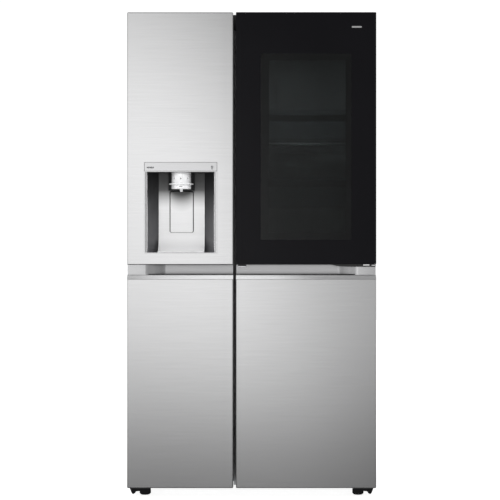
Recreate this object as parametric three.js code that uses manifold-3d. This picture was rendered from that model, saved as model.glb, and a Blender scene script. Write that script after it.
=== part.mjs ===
// A side by side refrigerator: a freezer on the left with an ice and water dispenser in its door, and a
// fridge on the right whose door has a second, glazed door in its front. Millimetres, +Z up, the front
// faces -Y, and the origin is on the floor under the middle of the cabinet.
import * as THREE from "three";
import { mergeVertices } from "three/addons/utils/BufferGeometryUtils.js";
import Module from "manifold-3d";

const wasm = await Module();
wasm.setup();

// ---------------------------------------------------------------- driving dimensions
const WIDTH = 913;
const DEPTH = 735;
const HEIGHT = 1790;
const CLEAR = 0.3; // between pieces that rest on each other
const PAST = 5; // how far a cutting tool runs past the face it opens
const SHEET = 1.2; // folded steel sheet
const LINER = 2; // thermoformed plastic
const PIN_SIDES = 24;

// doors
const DOOR_DEPTH = 108;
const DOOR_FLOOR_GAP = 36; // floor to the bottom of the doors
const DOOR_TOP_DROP = 10; // overall top to the top of the doors
const DOOR_GAP = 10; // between the two doors
const SEAL_GAP = 10; // door back to cabinet front
const FREEZER_DOOR_WIDTH = 389;
const UPPER_FRONT_HEIGHT = 922.5; // door top down to the handle channel
const SKIN_RETURN = 84; // how far the steel wraps round a door's sides
const DYKE_WIDTH = 30; // ribs on a door's inner face that hold its bins
const DYKE_REACH = 44.5;
const DYKE_HINGE_CLEAR = 12; // dyke to liner wall at the hinge side
const DYKE_FREE_CLEAR = 18; // and at the free side, which swings past the wall
const DYKE_END_CLEAR = 22;
const BACK_CHAMFER = 8; // on the vertical back edges of the doors
const CORE_INSET = SHEET + CLEAR;

// handle channels between the upper and lower fronts
const CHANNEL_HEIGHT = 40;
const CHANNEL_DEPTH = 45;
const CHANNEL_END = 50; // shallow length at the outer end
const CHANNEL_RAMP = 90; // length over which it sinks to its full depth
const CHANNEL_STEPS = 10;
const LIP_HEIGHT = 17;
const LIP_DEPTH = 14;
const LIP_EDGE = 2;
const FINGER_DEPTH = 22; // pocket below and behind the lip

// door in the door
const OUTER_DOOR_DEPTH = 48;
const OUTER_SEAL_GAP = 6;
const OUTER_BOTTOM_GAP = 2.5;
const GLASS = 4;
const WINDOW_SIDE = 91; // dark border each side of the window
const WINDOW_TOP = 151.5;
const WINDOW_BOTTOM = 89;
const ACCESS_BOTTOM = 60; // frame left below the opening behind it
const OUTER_AXIS_IN = 14.5; // its hinge axis, from the door's side
const OUTER_AXIS_BACK = 27.5; // and from its front
const OUTER_PIN = 4;
const OUTER_PIN_GRIP = 18;
const EAR_HALF = 10;
const EAR_DROP = 12; // door top to the underside of the ear
const EAR_THICK = 6;
const RELEASE_BUTTON = { width: 28, depth: 15, height: 9, proud: 3.2, travel: 2.5, in: 8, back: 12 };

// door hinges
const AXIS_IN = 22; // axis from the side of the cabinet
const AXIS_BACK = 79.5; // axis behind the door front
const HINGE_PIN = 6;
const PIN_PLAY = 0.6;
const PIN_GRIP = 26; // length of pin inside the door
const HINGE_WIDTH = 35;
const HINGE_PLATE = 3.5;
const ARM_LIFT = 1; // arm above the door top
const TOP_HINGE = { setback: 6, foot: 70 }; // its foot, from the cabinet front and along the case top
const LOWER_HINGE = { plate: 5, drop: 3, reach: 18, setback: 4, foot: 46, boss: 11, past: 3 };

// gaskets
const GASKET_WIDTH = 18;
const GASKET_OFFSET = 2; // from the edge of the opening
const OUTER_GASKET_OFFSET = 8;

// cabinet
const FREEZER_WALL = 55;
const FRIDGE_WALL = 45;
const MULLION = 55;
const CEILING = 50;
const CASE_DROP = 40; // overall top to the top of the case
const BASE_Z = 42; // underside of the base pan
const BASE_SHEET = 2;
const CAVITY_FLOOR = 118;
const FREEZER_BACK_WALL = 100;
const FRIDGE_BACK_WALL = 60;
const MACHINE_HEIGHT = 196;
const MACHINE_DEPTH = 200;
const MACHINE_WALL = 45; // foam between the machine space and the compartments
const FLOOR_SLOPE = 30; // depth of the sloping step in the compartment floors
const MACHINE_SIDE = 6;

// fittings inside
const BIN_REACH = 94.5; // bins and ice unit, from the back of the door
const BIN_WALL = 3;
const SHELF_THICK = 5;
const SHELF_SIDE_GAP = 4;
const SHELF_BIN_GAP = 15; // front of the shelves behind the bins
const LEDGE_WIDE = 8;
const LEDGE_TALL = 8;
const LEDGE_SETBACK = 20;
const BIN_HEIGHT = 112;
const FREEZER_BIN_RISE = { lower: -300, upper: 80 }; // from the top of the freezer's drawers
const FRIDGE_BIN_RISE = 60; // from the crispers' cover
const OUTER_BIN_RISE = { middle: 150, upper: 400 }; // from the foot of the access opening
const BIN_RING_GAP = 8; // the outer door's bins, from the front of the opening they stand in
const DRAWER_TRAVEL = 50;
const DRAWER_STOP_GAP = 3;
const DRAWER_WALL = 3;
const DRAWER_SIDE_GAP = 14;
const DRAWER_RIM_GAP = 3;
const DRAWER_RIM = 4;
const DRAWER_LIP = { reach: 12, height: 26 };
const DRAWER_BACK_GAP = 6;
const DRAWER_FLOOR_GAP = 7;
const DRAWER_STACK_GAP = 10;
const CRISPER_HEIGHT = 190;
const FREEZER_DRAWER_HEIGHT = 205;
const EVAPORATOR_SPACE = 52; // between the freezer's back wall and the front of its air panel
const EVAPORATOR = { gap: 8, side: 40, low: 90, height: 240 };
const AIR_PANEL = { thick: 5, side: 1, end: 3 };
const AIR_DUCT = { width: 160, depth: 34, low: 120, high: 60 };
const VENT = { half: 55, halfHeight: 4, pitch: 22, shares: [0.3, 0.55, 0.8] };
const DUCT_VENT = { half: 40, halfHeight: 9, depth: 12, rise: 192 };
const COIL = { fin: 1.5, tube: 5, sides: 8, end: 8 };
const ICE_BIN = { rise: 10, height: 200 }; // above the dispenser's control strip
const ICE_MAKER = { gap: 14, height: 136, back: 8, side: 12, motor: 42, wall: 10, tray: 44, outlet: 30 };

// dispenser
const DISPENSER_OFFSET = 2; // its centre from the middle of the freezer door
const DISPENSER_RISE = 41.5; // recess floor above the handle channel
const RECESS_HEIGHT = 296;
const RECESS_WIDTH = 262;
const RECESS_DEPTH = 76;
const PLATE_WIDTH = 171;
const PLATE_THICK = 1.5;
const PLATE_CURVE = 70;
const PLATE_FRONT_GAP = 3;
const HOUSING_WALL = 2.5;
const STRIP_HEIGHT = 32.5;
const STRIP_DEPTH = 10;
const HEAD_RADIUS = 36;
const HEAD_HEIGHT = 61;
const HEAD_SETBACK = 12; // its front behind the door front
const HEAD_FLANGE = { radius: 45, low: 16, height: 4 };
const NOZZLE = { radius: 5, length: 10 };
const BUTTON = { width: 12, height: 11, depth: 5, proud: 0.8, travel: 1, up: 38, spread: 44 };
const PADDLE = { width: 86, height: 155, thick: 4, gap: 3, up: 73, pocket: 16 };
const PADDLE_PIVOT = { radius: 2.5, play: 0.4, stub: 3.5, down: 6 };

// top cover
const TOP_COVER = { setback: 1, depth: 109, wall: 3, side: 1, drop: 2 };
const HINGE_HOOD = { side: 2, front: 10 }; // how far the cover reaches past a hinge arm
const COVER_TAB = { half: 6, front: 6, drop: 18 }; // between the two doors

// feet, rollers and machinery
const FOOT = { radius: 21, height: 24, round: 4.5, collar: 9, stud: 5, play: 0.6 };
const FOOT_PLACE = { beside: 38.5, forward: 3 };
const HINGE_TOOTH = { half: 14.5, tip: 3, thick: 12 };
const ROLLER = { radius: 20, width: 22, axle: 4, play: 0.6, in: 56, forward: 57, cheek: 3, side: 1.5 };
const FORK = { half: 13, drop: 9 };
const FAN = { radius: 78, hub: 18, blades: 5, width: 18, shaft: 3, play: 0.5, pitch: 32, chord: 34 };
const FAN_OFFSET = 110; // from the middle of the wall between the compartments
const SHROUD = { gap: 8, thick: 3, end: 8, top: 6, rim: 4, spoke: 9, motor: 22, nose: 4 };
const COMPRESSOR = { in: 182.6, radius: 76, height: 146, plate: [92, 60], feet: [78, 46], grommet: 9 };
const COMPRESSOR_ROUND = 28;
const CONDENSER = { gap: 50, side: 60, end: 28, low: 10, high: 30, stand: 12, fins: 9 };
const SLOT = { columns: 11, side: 80, half: 24, halfHeight: 4, shares: [0.3, 0.5, 0.7] };
const GLAND = { radius: 11, length: 12, rise: 24, side: 70 }; // where the mains lead comes out

// ---------------------------------------------------------------- places worked out from them
const left = -WIDTH / 2;
const right = WIDTH / 2;
const front = -DEPTH / 2;
const back = DEPTH / 2;
const doorBack = front + DOOR_DEPTH;
const caseFront = doorBack + SEAL_GAP;
const caseTop = HEIGHT - CASE_DROP;
const doorZ = [DOOR_FLOOR_GAP, HEIGHT - DOOR_TOP_DROP];
const doorTop = doorZ[1];
const splitZ = doorTop - UPPER_FRONT_HEIGHT; // top of the handle channels
const lipTop = splitZ - CHANNEL_HEIGHT;
const lowerTop = lipTop - LIP_HEIGHT; // top of the lower steel fronts

const freezerDoorX = [left, left + FREEZER_DOOR_WIDTH];
const fridgeDoorX = [freezerDoorX[1] + DOOR_GAP, right];
const mullionX = (freezerDoorX[1] + fridgeDoorX[0]) / 2;
const freezerX = [left + FREEZER_WALL, mullionX - MULLION / 2];
const fridgeX = [mullionX + MULLION / 2, right - FRIDGE_WALL];
const cavityTop = caseTop - CEILING;
const freezerBack = back - FREEZER_BACK_WALL;
const fridgeBack = back - FRIDGE_BACK_WALL;
const baseTop = BASE_Z + BASE_SHEET;
const machineTop = baseTop + MACHINE_HEIGHT;
const machineFront = back - MACHINE_DEPTH;
const rearFloor = machineTop + MACHINE_WALL;
const stepBack = machineFront - MACHINE_WALL;

const binBack = doorBack + BIN_REACH;
const shelfFront = binBack + SHELF_BIN_GAP;
const drawerLipFront = binBack + DRAWER_STOP_GAP + DRAWER_TRAVEL;
const drawerFront = drawerLipFront + DRAWER_LIP.reach;

const axisY = front + AXIS_BACK;
const axisX = { left: left + AXIS_IN, right: right - AXIS_IN };
const channelBack = front + CHANNEL_DEPTH;
const ringFront = front + OUTER_DOOR_DEPTH + OUTER_SEAL_GAP;
const outerBack = front + OUTER_DOOR_DEPTH;
const outerAxis = [right - OUTER_AXIS_IN, front + OUTER_AXIS_BACK];

const recessX = (freezerDoorX[0] + freezerDoorX[1]) / 2 + DISPENSER_OFFSET;
const recessZ = [splitZ + DISPENSER_RISE, splitZ + DISPENSER_RISE + RECESS_HEIGHT];
const stripZ = [recessZ[1], recessZ[1] + STRIP_HEIGHT];
const recessBack = front + RECESS_DEPTH;
const plateFront = recessBack - CLEAR - PLATE_THICK;
const headY = front + HEAD_SETBACK + HEAD_RADIUS;
const headBottom = recessZ[1] - HEAD_HEIGHT;
const paddleZ = [recessZ[0] + PADDLE.up, recessZ[0] + PADDLE.up + PADDLE.height];
const pivotZ = paddleZ[1] - PADDLE_PIVOT.down;
const pivotY = plateFront + PADDLE.thick / 2;

// ---------------------------------------------------------------- solids
const inset = ([low, high], by, byHigh = by) => [low + by, high - byHigh];
const middle = ([low, high]) => (low + high) / 2;
const around = (centre, half) => [centre - half, centre + half];

function solid(geometry) {
  const bare = geometry.index ? geometry.toNonIndexed() : geometry.clone();
  bare.deleteAttribute("normal");
  bare.deleteAttribute("uv");
  const merged = mergeVertices(bare, 1e-4);
  return new wasm.Manifold(
    new wasm.Mesh({
      numProp: 3,
      vertProperties: merged.attributes.position.array,
      triVerts: new Uint32Array(merged.index.array),
    }),
  );
}

function block(x, y, z) {
  const size = [x, y, z].map(([low, high]) => high - low);
  const box = new THREE.BoxGeometry(...size);
  return solid(box.translate(middle(x), middle(y), middle(z)));
}

// Turns (u, v, w) into the frame so that w runs along the axis: for z, u and v are x and y, for x they are
// y and z, and for y they are z and x.
function turned(geometry, axis) {
  const unit = { x: [1, 0, 0], y: [0, 1, 0], z: [0, 0, 1] };
  const order = { z: "xyz", x: "yzx", y: "zxy" }[axis];
  const basis = [...order].map((letter) => new THREE.Vector3(...unit[letter]));
  return geometry.applyMatrix4(new THREE.Matrix4().makeBasis(...basis));
}

function prism(axis, points, [low, high]) {
  const shape = new THREE.Shape(points.map(([u, v]) => new THREE.Vector2(u, v)));
  const bar = new THREE.ExtrudeGeometry(shape, { depth: high - low, bevelEnabled: false });
  return solid(turned(bar.translate(0, 0, low), axis));
}

function rod(axis, [u, v], [low, high], radius, sides = PIN_SIDES) {
  const cylinder = new THREE.CylinderGeometry(radius, radius, high - low, sides);
  cylinder.rotateX(Math.PI / 2).translate(u, v, (low + high) / 2);
  return solid(turned(cylinder, axis));
}

function lathe(profile, sides) {
  const points = profile.map(([radius, z]) => new THREE.Vector2(radius, z));
  return solid(new THREE.LatheGeometry(points, sides).rotateX(Math.PI / 2));
}

const join = (...solids) => solids.reduce((all, next) => all.add(next));
const cut = (body, ...tools) => tools.reduce((rest, tool) => rest.subtract(tool), body);

// ---------------------------------------------------------------- the scene
const refrigerator = new THREE.Group();

const paint = (color, roughness, metalness = 0) =>
  new THREE.MeshStandardMaterial({ color, roughness, metalness });
const steel = paint(0xc4c6c8, 0.32, 1);
const greyPaint = paint(0x9a9c9f, 0.45, 0.3);
const zinc = paint(0xa9adb0, 0.4, 1);
const whitePlastic = paint(0xf0f1f2, 0.45);
const darkPlastic = paint(0x2a2b2d, 0.5);
const blackPlastic = paint(0x141415, 0.5);
const greyRubber = paint(0x6d6f71, 0.8);
const foam = paint(0xe8dcae, 0.9);
const tintedGlass = paint(0x101214, 0.05);
const clearGlass = paint(0xcfe0dc, 0.05);
const clearPlastic = paint(0xdfe8ea, 0.15);
const silver = paint(0xd8dadc, 0.25, 1);

function group(name) {
  const made = new THREE.Group();
  made.name = name;
  refrigerator.add(made);
  return made;
}

function geometryOf(body) {
  const { vertProperties, triVerts } = body.getMesh();
  return new THREE.BufferGeometry()
    .setAttribute("position", new THREE.BufferAttribute(vertProperties, 3))
    .setIndex(new THREE.BufferAttribute(triVerts, 1));
}

function add(parent, name, body, material, place = [0, 0, 0], turn = 0) {
  const mesh = new THREE.Mesh(geometryOf(body), material);
  mesh.name = name;
  mesh.position.set(...place);
  mesh.rotation.z = turn;
  parent.add(mesh);
}

// ---------------------------------------------------------------- cabinet
// Side view of a compartment, grown outwards by a wall: its floor steps up over the machine space.
function cavity(x, yBack, grow, yFront = caseFront - PAST) {
  const outline = [
    [yFront, CAVITY_FLOOR - grow],
    [stepBack - FLOOR_SLOPE + grow, CAVITY_FLOOR - grow],
    [stepBack + grow, rearFloor - grow],
    [yBack + grow, rearFloor - grow],
    [yBack + grow, cavityTop + grow],
    [yFront, cavityTop + grow],
  ];
  return prism("x", outline, inset(x, -grow));
}

const innerX = inset([left, right], CORE_INSET);

function outerCase() {
  const y = [caseFront, back];
  const z = [BASE_Z, caseTop];
  const frontSheet = block([left, right], [caseFront, caseFront + SHEET], z);
  return cut(
    join(
      block([left, left + SHEET], y, z),
      block([right - SHEET, right], y, z),
      block([left, right], y, [caseTop - SHEET, caseTop]),
      frontSheet,
    ),
    cavity(freezerX, caseFront + PAST, LINER + CLEAR),
    cavity(fridgeX, caseFront + PAST, LINER + CLEAR),
  );
}

function insulationFoam() {
  const y = [caseFront + CORE_INSET, back - CORE_INSET];
  return cut(
    block(innerX, y, [baseTop + CLEAR, caseTop - CORE_INSET]),
    cavity(freezerX, freezerBack, LINER + CLEAR),
    cavity(fridgeX, fridgeBack, LINER + CLEAR),
    block([left, right], [machineFront, back], [BASE_Z, machineTop]),
  );
}

// Ledges moulded in both side walls, for a shelf or a drawer rim that rests at height z.
function ledges(x, z, yBack, setback = LEDGE_SETBACK) {
  const y = [shelfFront + setback, yBack];
  const tall = [z - LEDGE_TALL, z];
  return [
    block([x[0] - LINER / 2, x[0] + LEDGE_WIDE], y, tall),
    block([x[1] - LEDGE_WIDE, x[1] + LINER / 2], y, tall),
  ];
}

function liner(x, yBack, shelfHeights, drawers) {
  const shell = cut(cavity(x, yBack, LINER, caseFront), cavity(x, yBack, 0));
  const shelfLedges = shelfHeights.flatMap((z) => ledges(x, z, yBack - EVAPORATOR_SPACE));
  const drawerLedges = drawers.flatMap(({ z, yEnd }) => {
    const reach = yEnd - DRAWER_BACK_GAP;
    return ledges(x, z[1] - DRAWER_RIM - CLEAR, reach, drawerFront - shelfFront);
  });
  return join(shell, ...shelfLedges, ...drawerLedges);
}

// Drawers stack up from the floor: the lowest stops at the step, and the next reaches the back.
function drawerStack(height, yBack) {
  const low = CAVITY_FLOOR + DRAWER_FLOOR_GAP;
  const next = Math.max(low + height, rearFloor) + DRAWER_STACK_GAP;
  return [
    { z: [low, low + height], yEnd: stepBack - FLOOR_SLOPE },
    { z: [next, next + height], yEnd: yBack },
  ];
}

const crispers = drawerStack(CRISPER_HEIGHT, fridgeBack - AIR_DUCT.depth);
const freezerDrawers = drawerStack(FREEZER_DRAWER_HEIGHT, freezerBack - EVAPORATOR_SPACE);
const coverOver = (stack) => stack[1].z[1] + DRAWER_STACK_GAP;

// Heights of evenly spaced shelves over a drawer cover, the cover first.
function shelfHeights(cover, count) {
  const step = (cavityTop - cover) / (count + 1);
  return Array.from({ length: count + 1 }, (_, i) => cover + step * i);
}

const fridgeShelves = shelfHeights(coverOver(crispers), 2);
const freezerShelves = shelfHeights(coverOver(freezerDrawers), 1);

function shelf(x, z, yBack) {
  const low = z + CLEAR;
  return block(inset(x, SHELF_SIDE_GAP), [shelfFront, yBack], [low, low + SHELF_THICK]);
}

function drawer(x, { z, yEnd }) {
  const bodyX = inset(x, DRAWER_SIDE_GAP);
  const y = [drawerFront, yEnd - DRAWER_BACK_GAP];
  const rimZ = [z[1] - DRAWER_RIM, z[1]];
  const lipZ = [z[1] - DRAWER_LIP.height, z[1]];
  const lipY = [drawerLipFront, drawerFront + DRAWER_WALL];
  const tub = join(
    block(bodyX, y, z),
    block(inset(x, DRAWER_RIM_GAP), y, rimZ),
    block(bodyX, lipY, lipZ),
  );
  const insideZ = [z[0] + DRAWER_WALL, z[1] + PAST];
  const inside = block(inset(bodyX, DRAWER_WALL), inset(y, DRAWER_WALL), insideZ);
  const grip = block(
    inset(bodyX, DRAWER_WALL),
    [drawerLipFront + DRAWER_WALL, drawerFront - CLEAR],
    [z[0], z[1] - DRAWER_WALL],
  );
  return cut(tub, inside, grip);
}

function evaporatorCover() {
  const y = [freezerBack - EVAPORATOR_SPACE, freezerBack - EVAPORATOR_SPACE + AIR_PANEL.thick];
  const z = inset([rearFloor, cavityTop], AIR_PANEL.end);
  const ventX = around(middle(freezerX), VENT.half);
  const vents = [];
  for (const up of VENT.shares) {
    for (const row of [0, 1, 2]) {
      const level = z[0] + (z[1] - z[0]) * up + row * VENT.pitch;
      vents.push(block(ventX, inset(y, -PAST), around(level, VENT.halfHeight)));
    }
  }
  return cut(block(inset(freezerX, AIR_PANEL.side), y, z), ...vents);
}

function airDuct() {
  const y = [fridgeBack - AIR_DUCT.depth, fridgeBack - CLEAR];
  const z = [coverOver(crispers) + AIR_DUCT.low, cavityTop - AIR_DUCT.high];
  const centre = middle(fridgeX);
  const ventY = [y[0] - PAST, y[0] + DUCT_VENT.depth];
  const vents = fridgeShelves.map((level) =>
    block(around(centre, DUCT_VENT.half), ventY, around(level + DUCT_VENT.rise, DUCT_VENT.halfHeight)),
  );
  return cut(block(around(centre, AIR_DUCT.width / 2), y, z), ...vents);
}

// A coil of straight tubes through a row of plate fins.
function finnedCoil(x, y, z, fins, tubes) {
  const pitch = (x[1] - x[0]) / (fins - 1);
  const finX = (i) => around(x[0] + pitch * i, COIL.fin / 2);
  const plates = Array.from({ length: fins }, (_, i) => block(finX(i), y, z));
  const pipes = tubes.map((centre) => rod("x", centre, inset(x, -COIL.end), COIL.tube, COIL.sides));
  return join(...pipes, ...plates);
}

function evaporator() {
  const space = [freezerBack - EVAPORATOR_SPACE + AIR_PANEL.thick, freezerBack];
  const y = inset(space, EVAPORATOR.gap);
  const low = rearFloor + EVAPORATOR.low;
  const z = [low, low + EVAPORATOR.height];
  const tubes = [0.25, 0.75].map((share) => [middle(y), z[0] + (z[1] - z[0]) * share]);
  return finnedCoil(inset(freezerX, EVAPORATOR.side), y, z, CONDENSER.fins, tubes);
}

function backPanel() {
  return block(innerX, [back - SHEET, back], [machineTop + CLEAR, caseTop - CORE_INSET]);
}

// ---------------------------------------------------------------- machine space and base
const roller = { left: left + ROLLER.in, right: right - ROLLER.in, y: back - ROLLER.forward };
const fanAxis = [back - MACHINE_DEPTH / 2, baseTop + MACHINE_HEIGHT / 2];
const fanX = mullionX + FAN_OFFSET;
const shroudX = [fanX + FAN.width + SHROUD.gap, fanX + FAN.width + SHROUD.gap + SHROUD.thick];

function rollerFork(x) {
  const half = ROLLER.width / 2 + ROLLER.side;
  const y = around(roller.y, FORK.half);
  const z = [ROLLER.radius - FORK.drop, BASE_Z + BASE_SHEET / 2];
  const cheeks = [
    block([x - half - ROLLER.cheek, x - half], y, z),
    block([x + half, x + half + ROLLER.cheek], y, z),
  ];
  const axle = rod("x", [roller.y, ROLLER.radius], around(x, half + ROLLER.cheek / 2), ROLLER.axle);
  return join(...cheeks, axle);
}

function baseFrame() {
  const y = [caseFront + CORE_INSET, back - SHEET - CLEAR];
  const sideY = [machineFront + CLEAR, y[1]];
  const sideZ = [BASE_Z, machineTop - CLEAR];
  const pan = block(innerX, y, [BASE_Z, baseTop]);
  const sides = [
    block([innerX[0], innerX[0] + MACHINE_SIDE], sideY, sideZ),
    block([innerX[1] - MACHINE_SIDE, innerX[1]], sideY, sideZ),
  ];
  const shroudZ = [BASE_Z, machineTop - SHROUD.top];
  const shroud = cut(
    block(shroudX, inset([machineFront, back], SHROUD.end), shroudZ),
    rod("x", fanAxis, inset(shroudX, -PAST), FAN.radius + SHROUD.rim, 32),
  );
  const spoke = block(shroudX, around(fanAxis[0], SHROUD.spoke), shroudZ);
  const motor = rod("x", fanAxis, [shroudX[0] - SHROUD.nose, shroudX[1] + SHROUD.motor], FAN.hub, 20);
  const shaft = rod("x", fanAxis, [fanX - FAN.width / 2 - SHROUD.nose, shroudX[1]], FAN.shaft, 16);
  const forks = [rollerFork(roller.left), rollerFork(roller.right)];
  return join(pan, ...sides, shroud, spoke, motor, shaft, ...forks);
}

function rollerWheel() {
  const half = ROLLER.width / 2;
  const bore = ROLLER.axle + ROLLER.play;
  const profile = [
    [bore, -half],
    [ROLLER.radius - 2, -half],
    [ROLLER.radius, 2 - half],
    [ROLLER.radius, half - 2],
    [ROLLER.radius - 2, half],
    [bore, half],
    [bore, -half],
  ];
  const points = profile.map(([radius, z]) => new THREE.Vector2(radius, z));
  return solid(new THREE.LatheGeometry(points, 32).rotateZ(-Math.PI / 2));
}

function condenserFan() {
  const half = FAN.width / 2;
  const hub = rod("x", [0, 0], [-half, half], FAN.hub, 20);
  const blades = Array.from({ length: FAN.blades }, (_, i) => {
    const root = FAN.hub - FAN.shaft;
    const blade = new THREE.BoxGeometry(BASE_SHEET, FAN.chord, FAN.radius - root);
    blade.translate(0, 0, (FAN.radius + root) / 2);
    blade.rotateZ(THREE.MathUtils.degToRad(FAN.pitch));
    return solid(blade.rotateX((i * 2 * Math.PI) / FAN.blades));
  });
  const swept = block([-half, half], around(0, FAN.radius), around(0, FAN.radius));
  const bore = rod("x", [0, 0], [-half - PAST, half + PAST], FAN.shaft + FAN.play, 16);
  return cut(join(hub, ...blades).intersect(swept), bore);
}

function compressor() {
  const { radius, height, plate, feet, grommet } = COMPRESSOR;
  const round = COMPRESSOR_ROUND;
  const [x, y] = [left + COMPRESSOR.in, fanAxis[0]];
  const foot = baseTop + CLEAR;
  const base = foot + grommet;
  const dome = Array.from({ length: 7 }, (_, i) => {
    const angle = (i * Math.PI) / 12;
    return [radius * Math.cos(angle), foot + height - 2 * round * (1 - Math.sin(angle))];
  });
  const side = [[radius - round / 4, base], [radius, base + round / 2], ...dome.slice(0, -1)];
  const shell = lathe([[0, base], ...side, [0, dome.at(-1)[1]]], 28).translate(x, y, 0);
  const plateSolid = block(around(x, plate[0]), around(y, plate[1]), [base - 1, base + 3]);
  const grommets = [-feet[0], feet[0]].flatMap((dx) =>
    [-feet[1], feet[1]].map((dy) => rod("z", [x + dx, y + dy], [foot, base], grommet, 12)),
  );
  const terminalX = [x + radius - 14, x + radius + 12];
  const terminals = block(terminalX, around(y, 20), [base + round, base + 3 * round]);
  return join(shell, plateSolid, terminals, ...grommets);
}

function condenser() {
  const x = [shroudX[1] + CONDENSER.gap, right - CONDENSER.side];
  const y = inset([machineFront, back], CONDENSER.end);
  const z = [baseTop + CONDENSER.low, machineTop - CONDENSER.high];
  const levels = [0.2, 0.5, 0.8].map((share) => z[0] + (z[1] - z[0]) * share);
  const tubes = levels.map((level) => [middle(y), level]);
  const coil = finnedCoil(x, y, z, CONDENSER.fins, tubes);
  const stand = block(x, around(middle(y), CONDENSER.stand), [baseTop + CLEAR, z[0] + COIL.fin]);
  return join(coil, stand);
}

function machineCover() {
  const z = [baseTop + CLEAR, machineTop - CLEAR];
  const y = [back - SHEET, back];
  const slots = [];
  const pitch = (WIDTH - 2 * SLOT.side) / (SLOT.columns - 1);
  for (let column = 0; column < SLOT.columns; column += 1) {
    for (const share of SLOT.shares) {
      const x = left + SLOT.side + pitch * column;
      const level = z[0] + (z[1] - z[0]) * share;
      slots.push(block(around(x, SLOT.half), inset(y, -PAST), around(level, SLOT.halfHeight)));
    }
  }
  const glandAt = [z[0] + GLAND.rise, left + GLAND.side];
  const gland = rod("y", glandAt, [back - GLAND.length, back], GLAND.radius, 16);
  return join(cut(block(innerX, y, z), ...slots), gland);
}

// ---------------------------------------------------------------- top cover, hinges and feet
const armZ = [doorTop + ARM_LIFT, doorTop + ARM_LIFT + HINGE_PLATE];
const plateLow = caseTop + CLEAR;
const hingeSides = [
  { name: "left", x: axisX.left, inward: 1 },
  { name: "right", x: axisX.right, inward: -1 },
];

function topHinge(x) {
  const wide = around(x, HINGE_WIDTH / 2);
  const riser = [caseFront + TOP_HINGE.setback, caseFront + TOP_HINGE.setback + HINGE_PLATE];
  return join(
    block(wide, [riser[0], riser[0] + TOP_HINGE.foot], [plateLow, plateLow + HINGE_PLATE]),
    block(wide, riser, [plateLow, armZ[1]]),
    block(wide, [axisY, riser[1]], armZ),
    rod("z", [x, axisY], armZ, HINGE_WIDTH / 2, 32),
    rod("z", [x, axisY], [doorTop - PIN_GRIP, armZ[1]], HINGE_PIN),
  );
}

function topCover() {
  const { setback, depth, wall, side, drop } = TOP_COVER;
  const y = [caseFront + setback, caseFront + setback + depth];
  const x = inset([left, right], side);
  const hollow = block(inset(x, wall), inset(y, wall), [plateLow - PAST, HEIGHT - wall]);
  const lips = [];
  const notches = [];
  for (const hinge of hingeSides) {
    const wide = around(hinge.x, HINGE_WIDTH / 2 + HINGE_HOOD.side);
    lips.push(block(wide, [axisY - HINGE_HOOD.front, y[0] + wall], [armZ[1] + CLEAR, HEIGHT - drop]));
    notches.push(block(wide, [y[0] - PAST, y[0] + wall + PAST], [caseTop, armZ[1] + CLEAR]));
  }
  const tabX = around(mullionX, COVER_TAB.half);
  const tabFront = caseFront - COVER_TAB.front;
  const bridge = block(tabX, [tabFront, y[0] + wall], [plateLow, HEIGHT]);
  const tab = block(tabX, [tabFront, caseFront - CLEAR], [caseTop - COVER_TAB.drop, plateLow + wall]);
  return join(cut(join(cut(block(x, y, [plateLow, HEIGHT]), hollow), ...lips), ...notches), bridge, tab);
}

function lowerHinge(x, inward) {
  const { plate, drop, reach, setback, foot, boss, past } = LOWER_HINGE;
  const plateZ = [DOOR_FLOOR_GAP - drop - plate, DOOR_FLOOR_GAP - drop];
  const footX = x + inward * FOOT_PLACE.beside;
  const outerEnd = x - inward * (HINGE_WIDTH / 2);
  const ends = [outerEnd, footX + inward * (FOOT.radius + past)].sort((a, b) => a - b);
  const backY = [caseFront + setback, caseFront + setback + foot];
  const tooth = [
    [plateZ[0] + 1, x - HINGE_TOOTH.half],
    [HINGE_TOOTH.tip, x],
    [plateZ[0] + 1, x + HINGE_TOOTH.half],
  ];
  const body = join(
    block(ends, [axisY - reach, backY[1]], plateZ),
    block(ends, backY, [plateZ[1], BASE_Z - CLEAR]),
    prism("y", tooth, around(axisY, HINGE_TOOTH.thick / 2)),
    rod("z", [x, axisY], [plateZ[1], DOOR_FLOOR_GAP - CLEAR], boss),
    rod("z", [x, axisY], [plateZ[0], DOOR_FLOOR_GAP + PIN_GRIP], HINGE_PIN),
  );
  const footHole = rod("z", [footX, axisY + FOOT_PLACE.forward], inset(plateZ, -PAST), FOOT.stud + FOOT.play);
  return cut(body, footHole);
}

function levellingFoot() {
  const { radius, height, stud, collar, round } = FOOT;
  const plateTop = DOOR_FLOOR_GAP - LOWER_HINGE.drop;
  const collarTop = plateTop - LOWER_HINGE.plate - CLEAR;
  const studTop = plateTop + round / 3;
  const profile = [
    [0, 0],
    [radius - round, 0],
    [radius, round],
    [radius, height - round],
    [radius - round, height],
    [collar, height],
    [collar, collarTop],
    [stud, collarTop],
    [stud, studTop],
    [0, studTop],
  ];
  return lathe(profile, 32);
}

// ---------------------------------------------------------------- parts shared by the two doors
// Plan of a handle channel: shallow at the door's outer end, sinking in a smooth S to its full depth.
function channelPlan(outerX, innerXEnd) {
  const way = Math.sign(innerXEnd - outerX);
  const shallow = front + LIP_DEPTH + CLEAR;
  const ramp = Array.from({ length: CHANNEL_STEPS + 1 }, (_, i) => {
    const share = i / CHANNEL_STEPS;
    const sunk = (1 - Math.cos(Math.PI * share)) / 2;
    return [outerX + way * (CHANNEL_END + CHANNEL_RAMP * share), shallow + (channelBack - shallow) * sunk];
  });
  return [
    [outerX - way * PAST, front - PAST],
    [outerX - way * PAST, shallow],
    ...ramp,
    [innerXEnd + way * PAST, channelBack],
    [innerXEnd + way * PAST, front - PAST],
  ];
}

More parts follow.
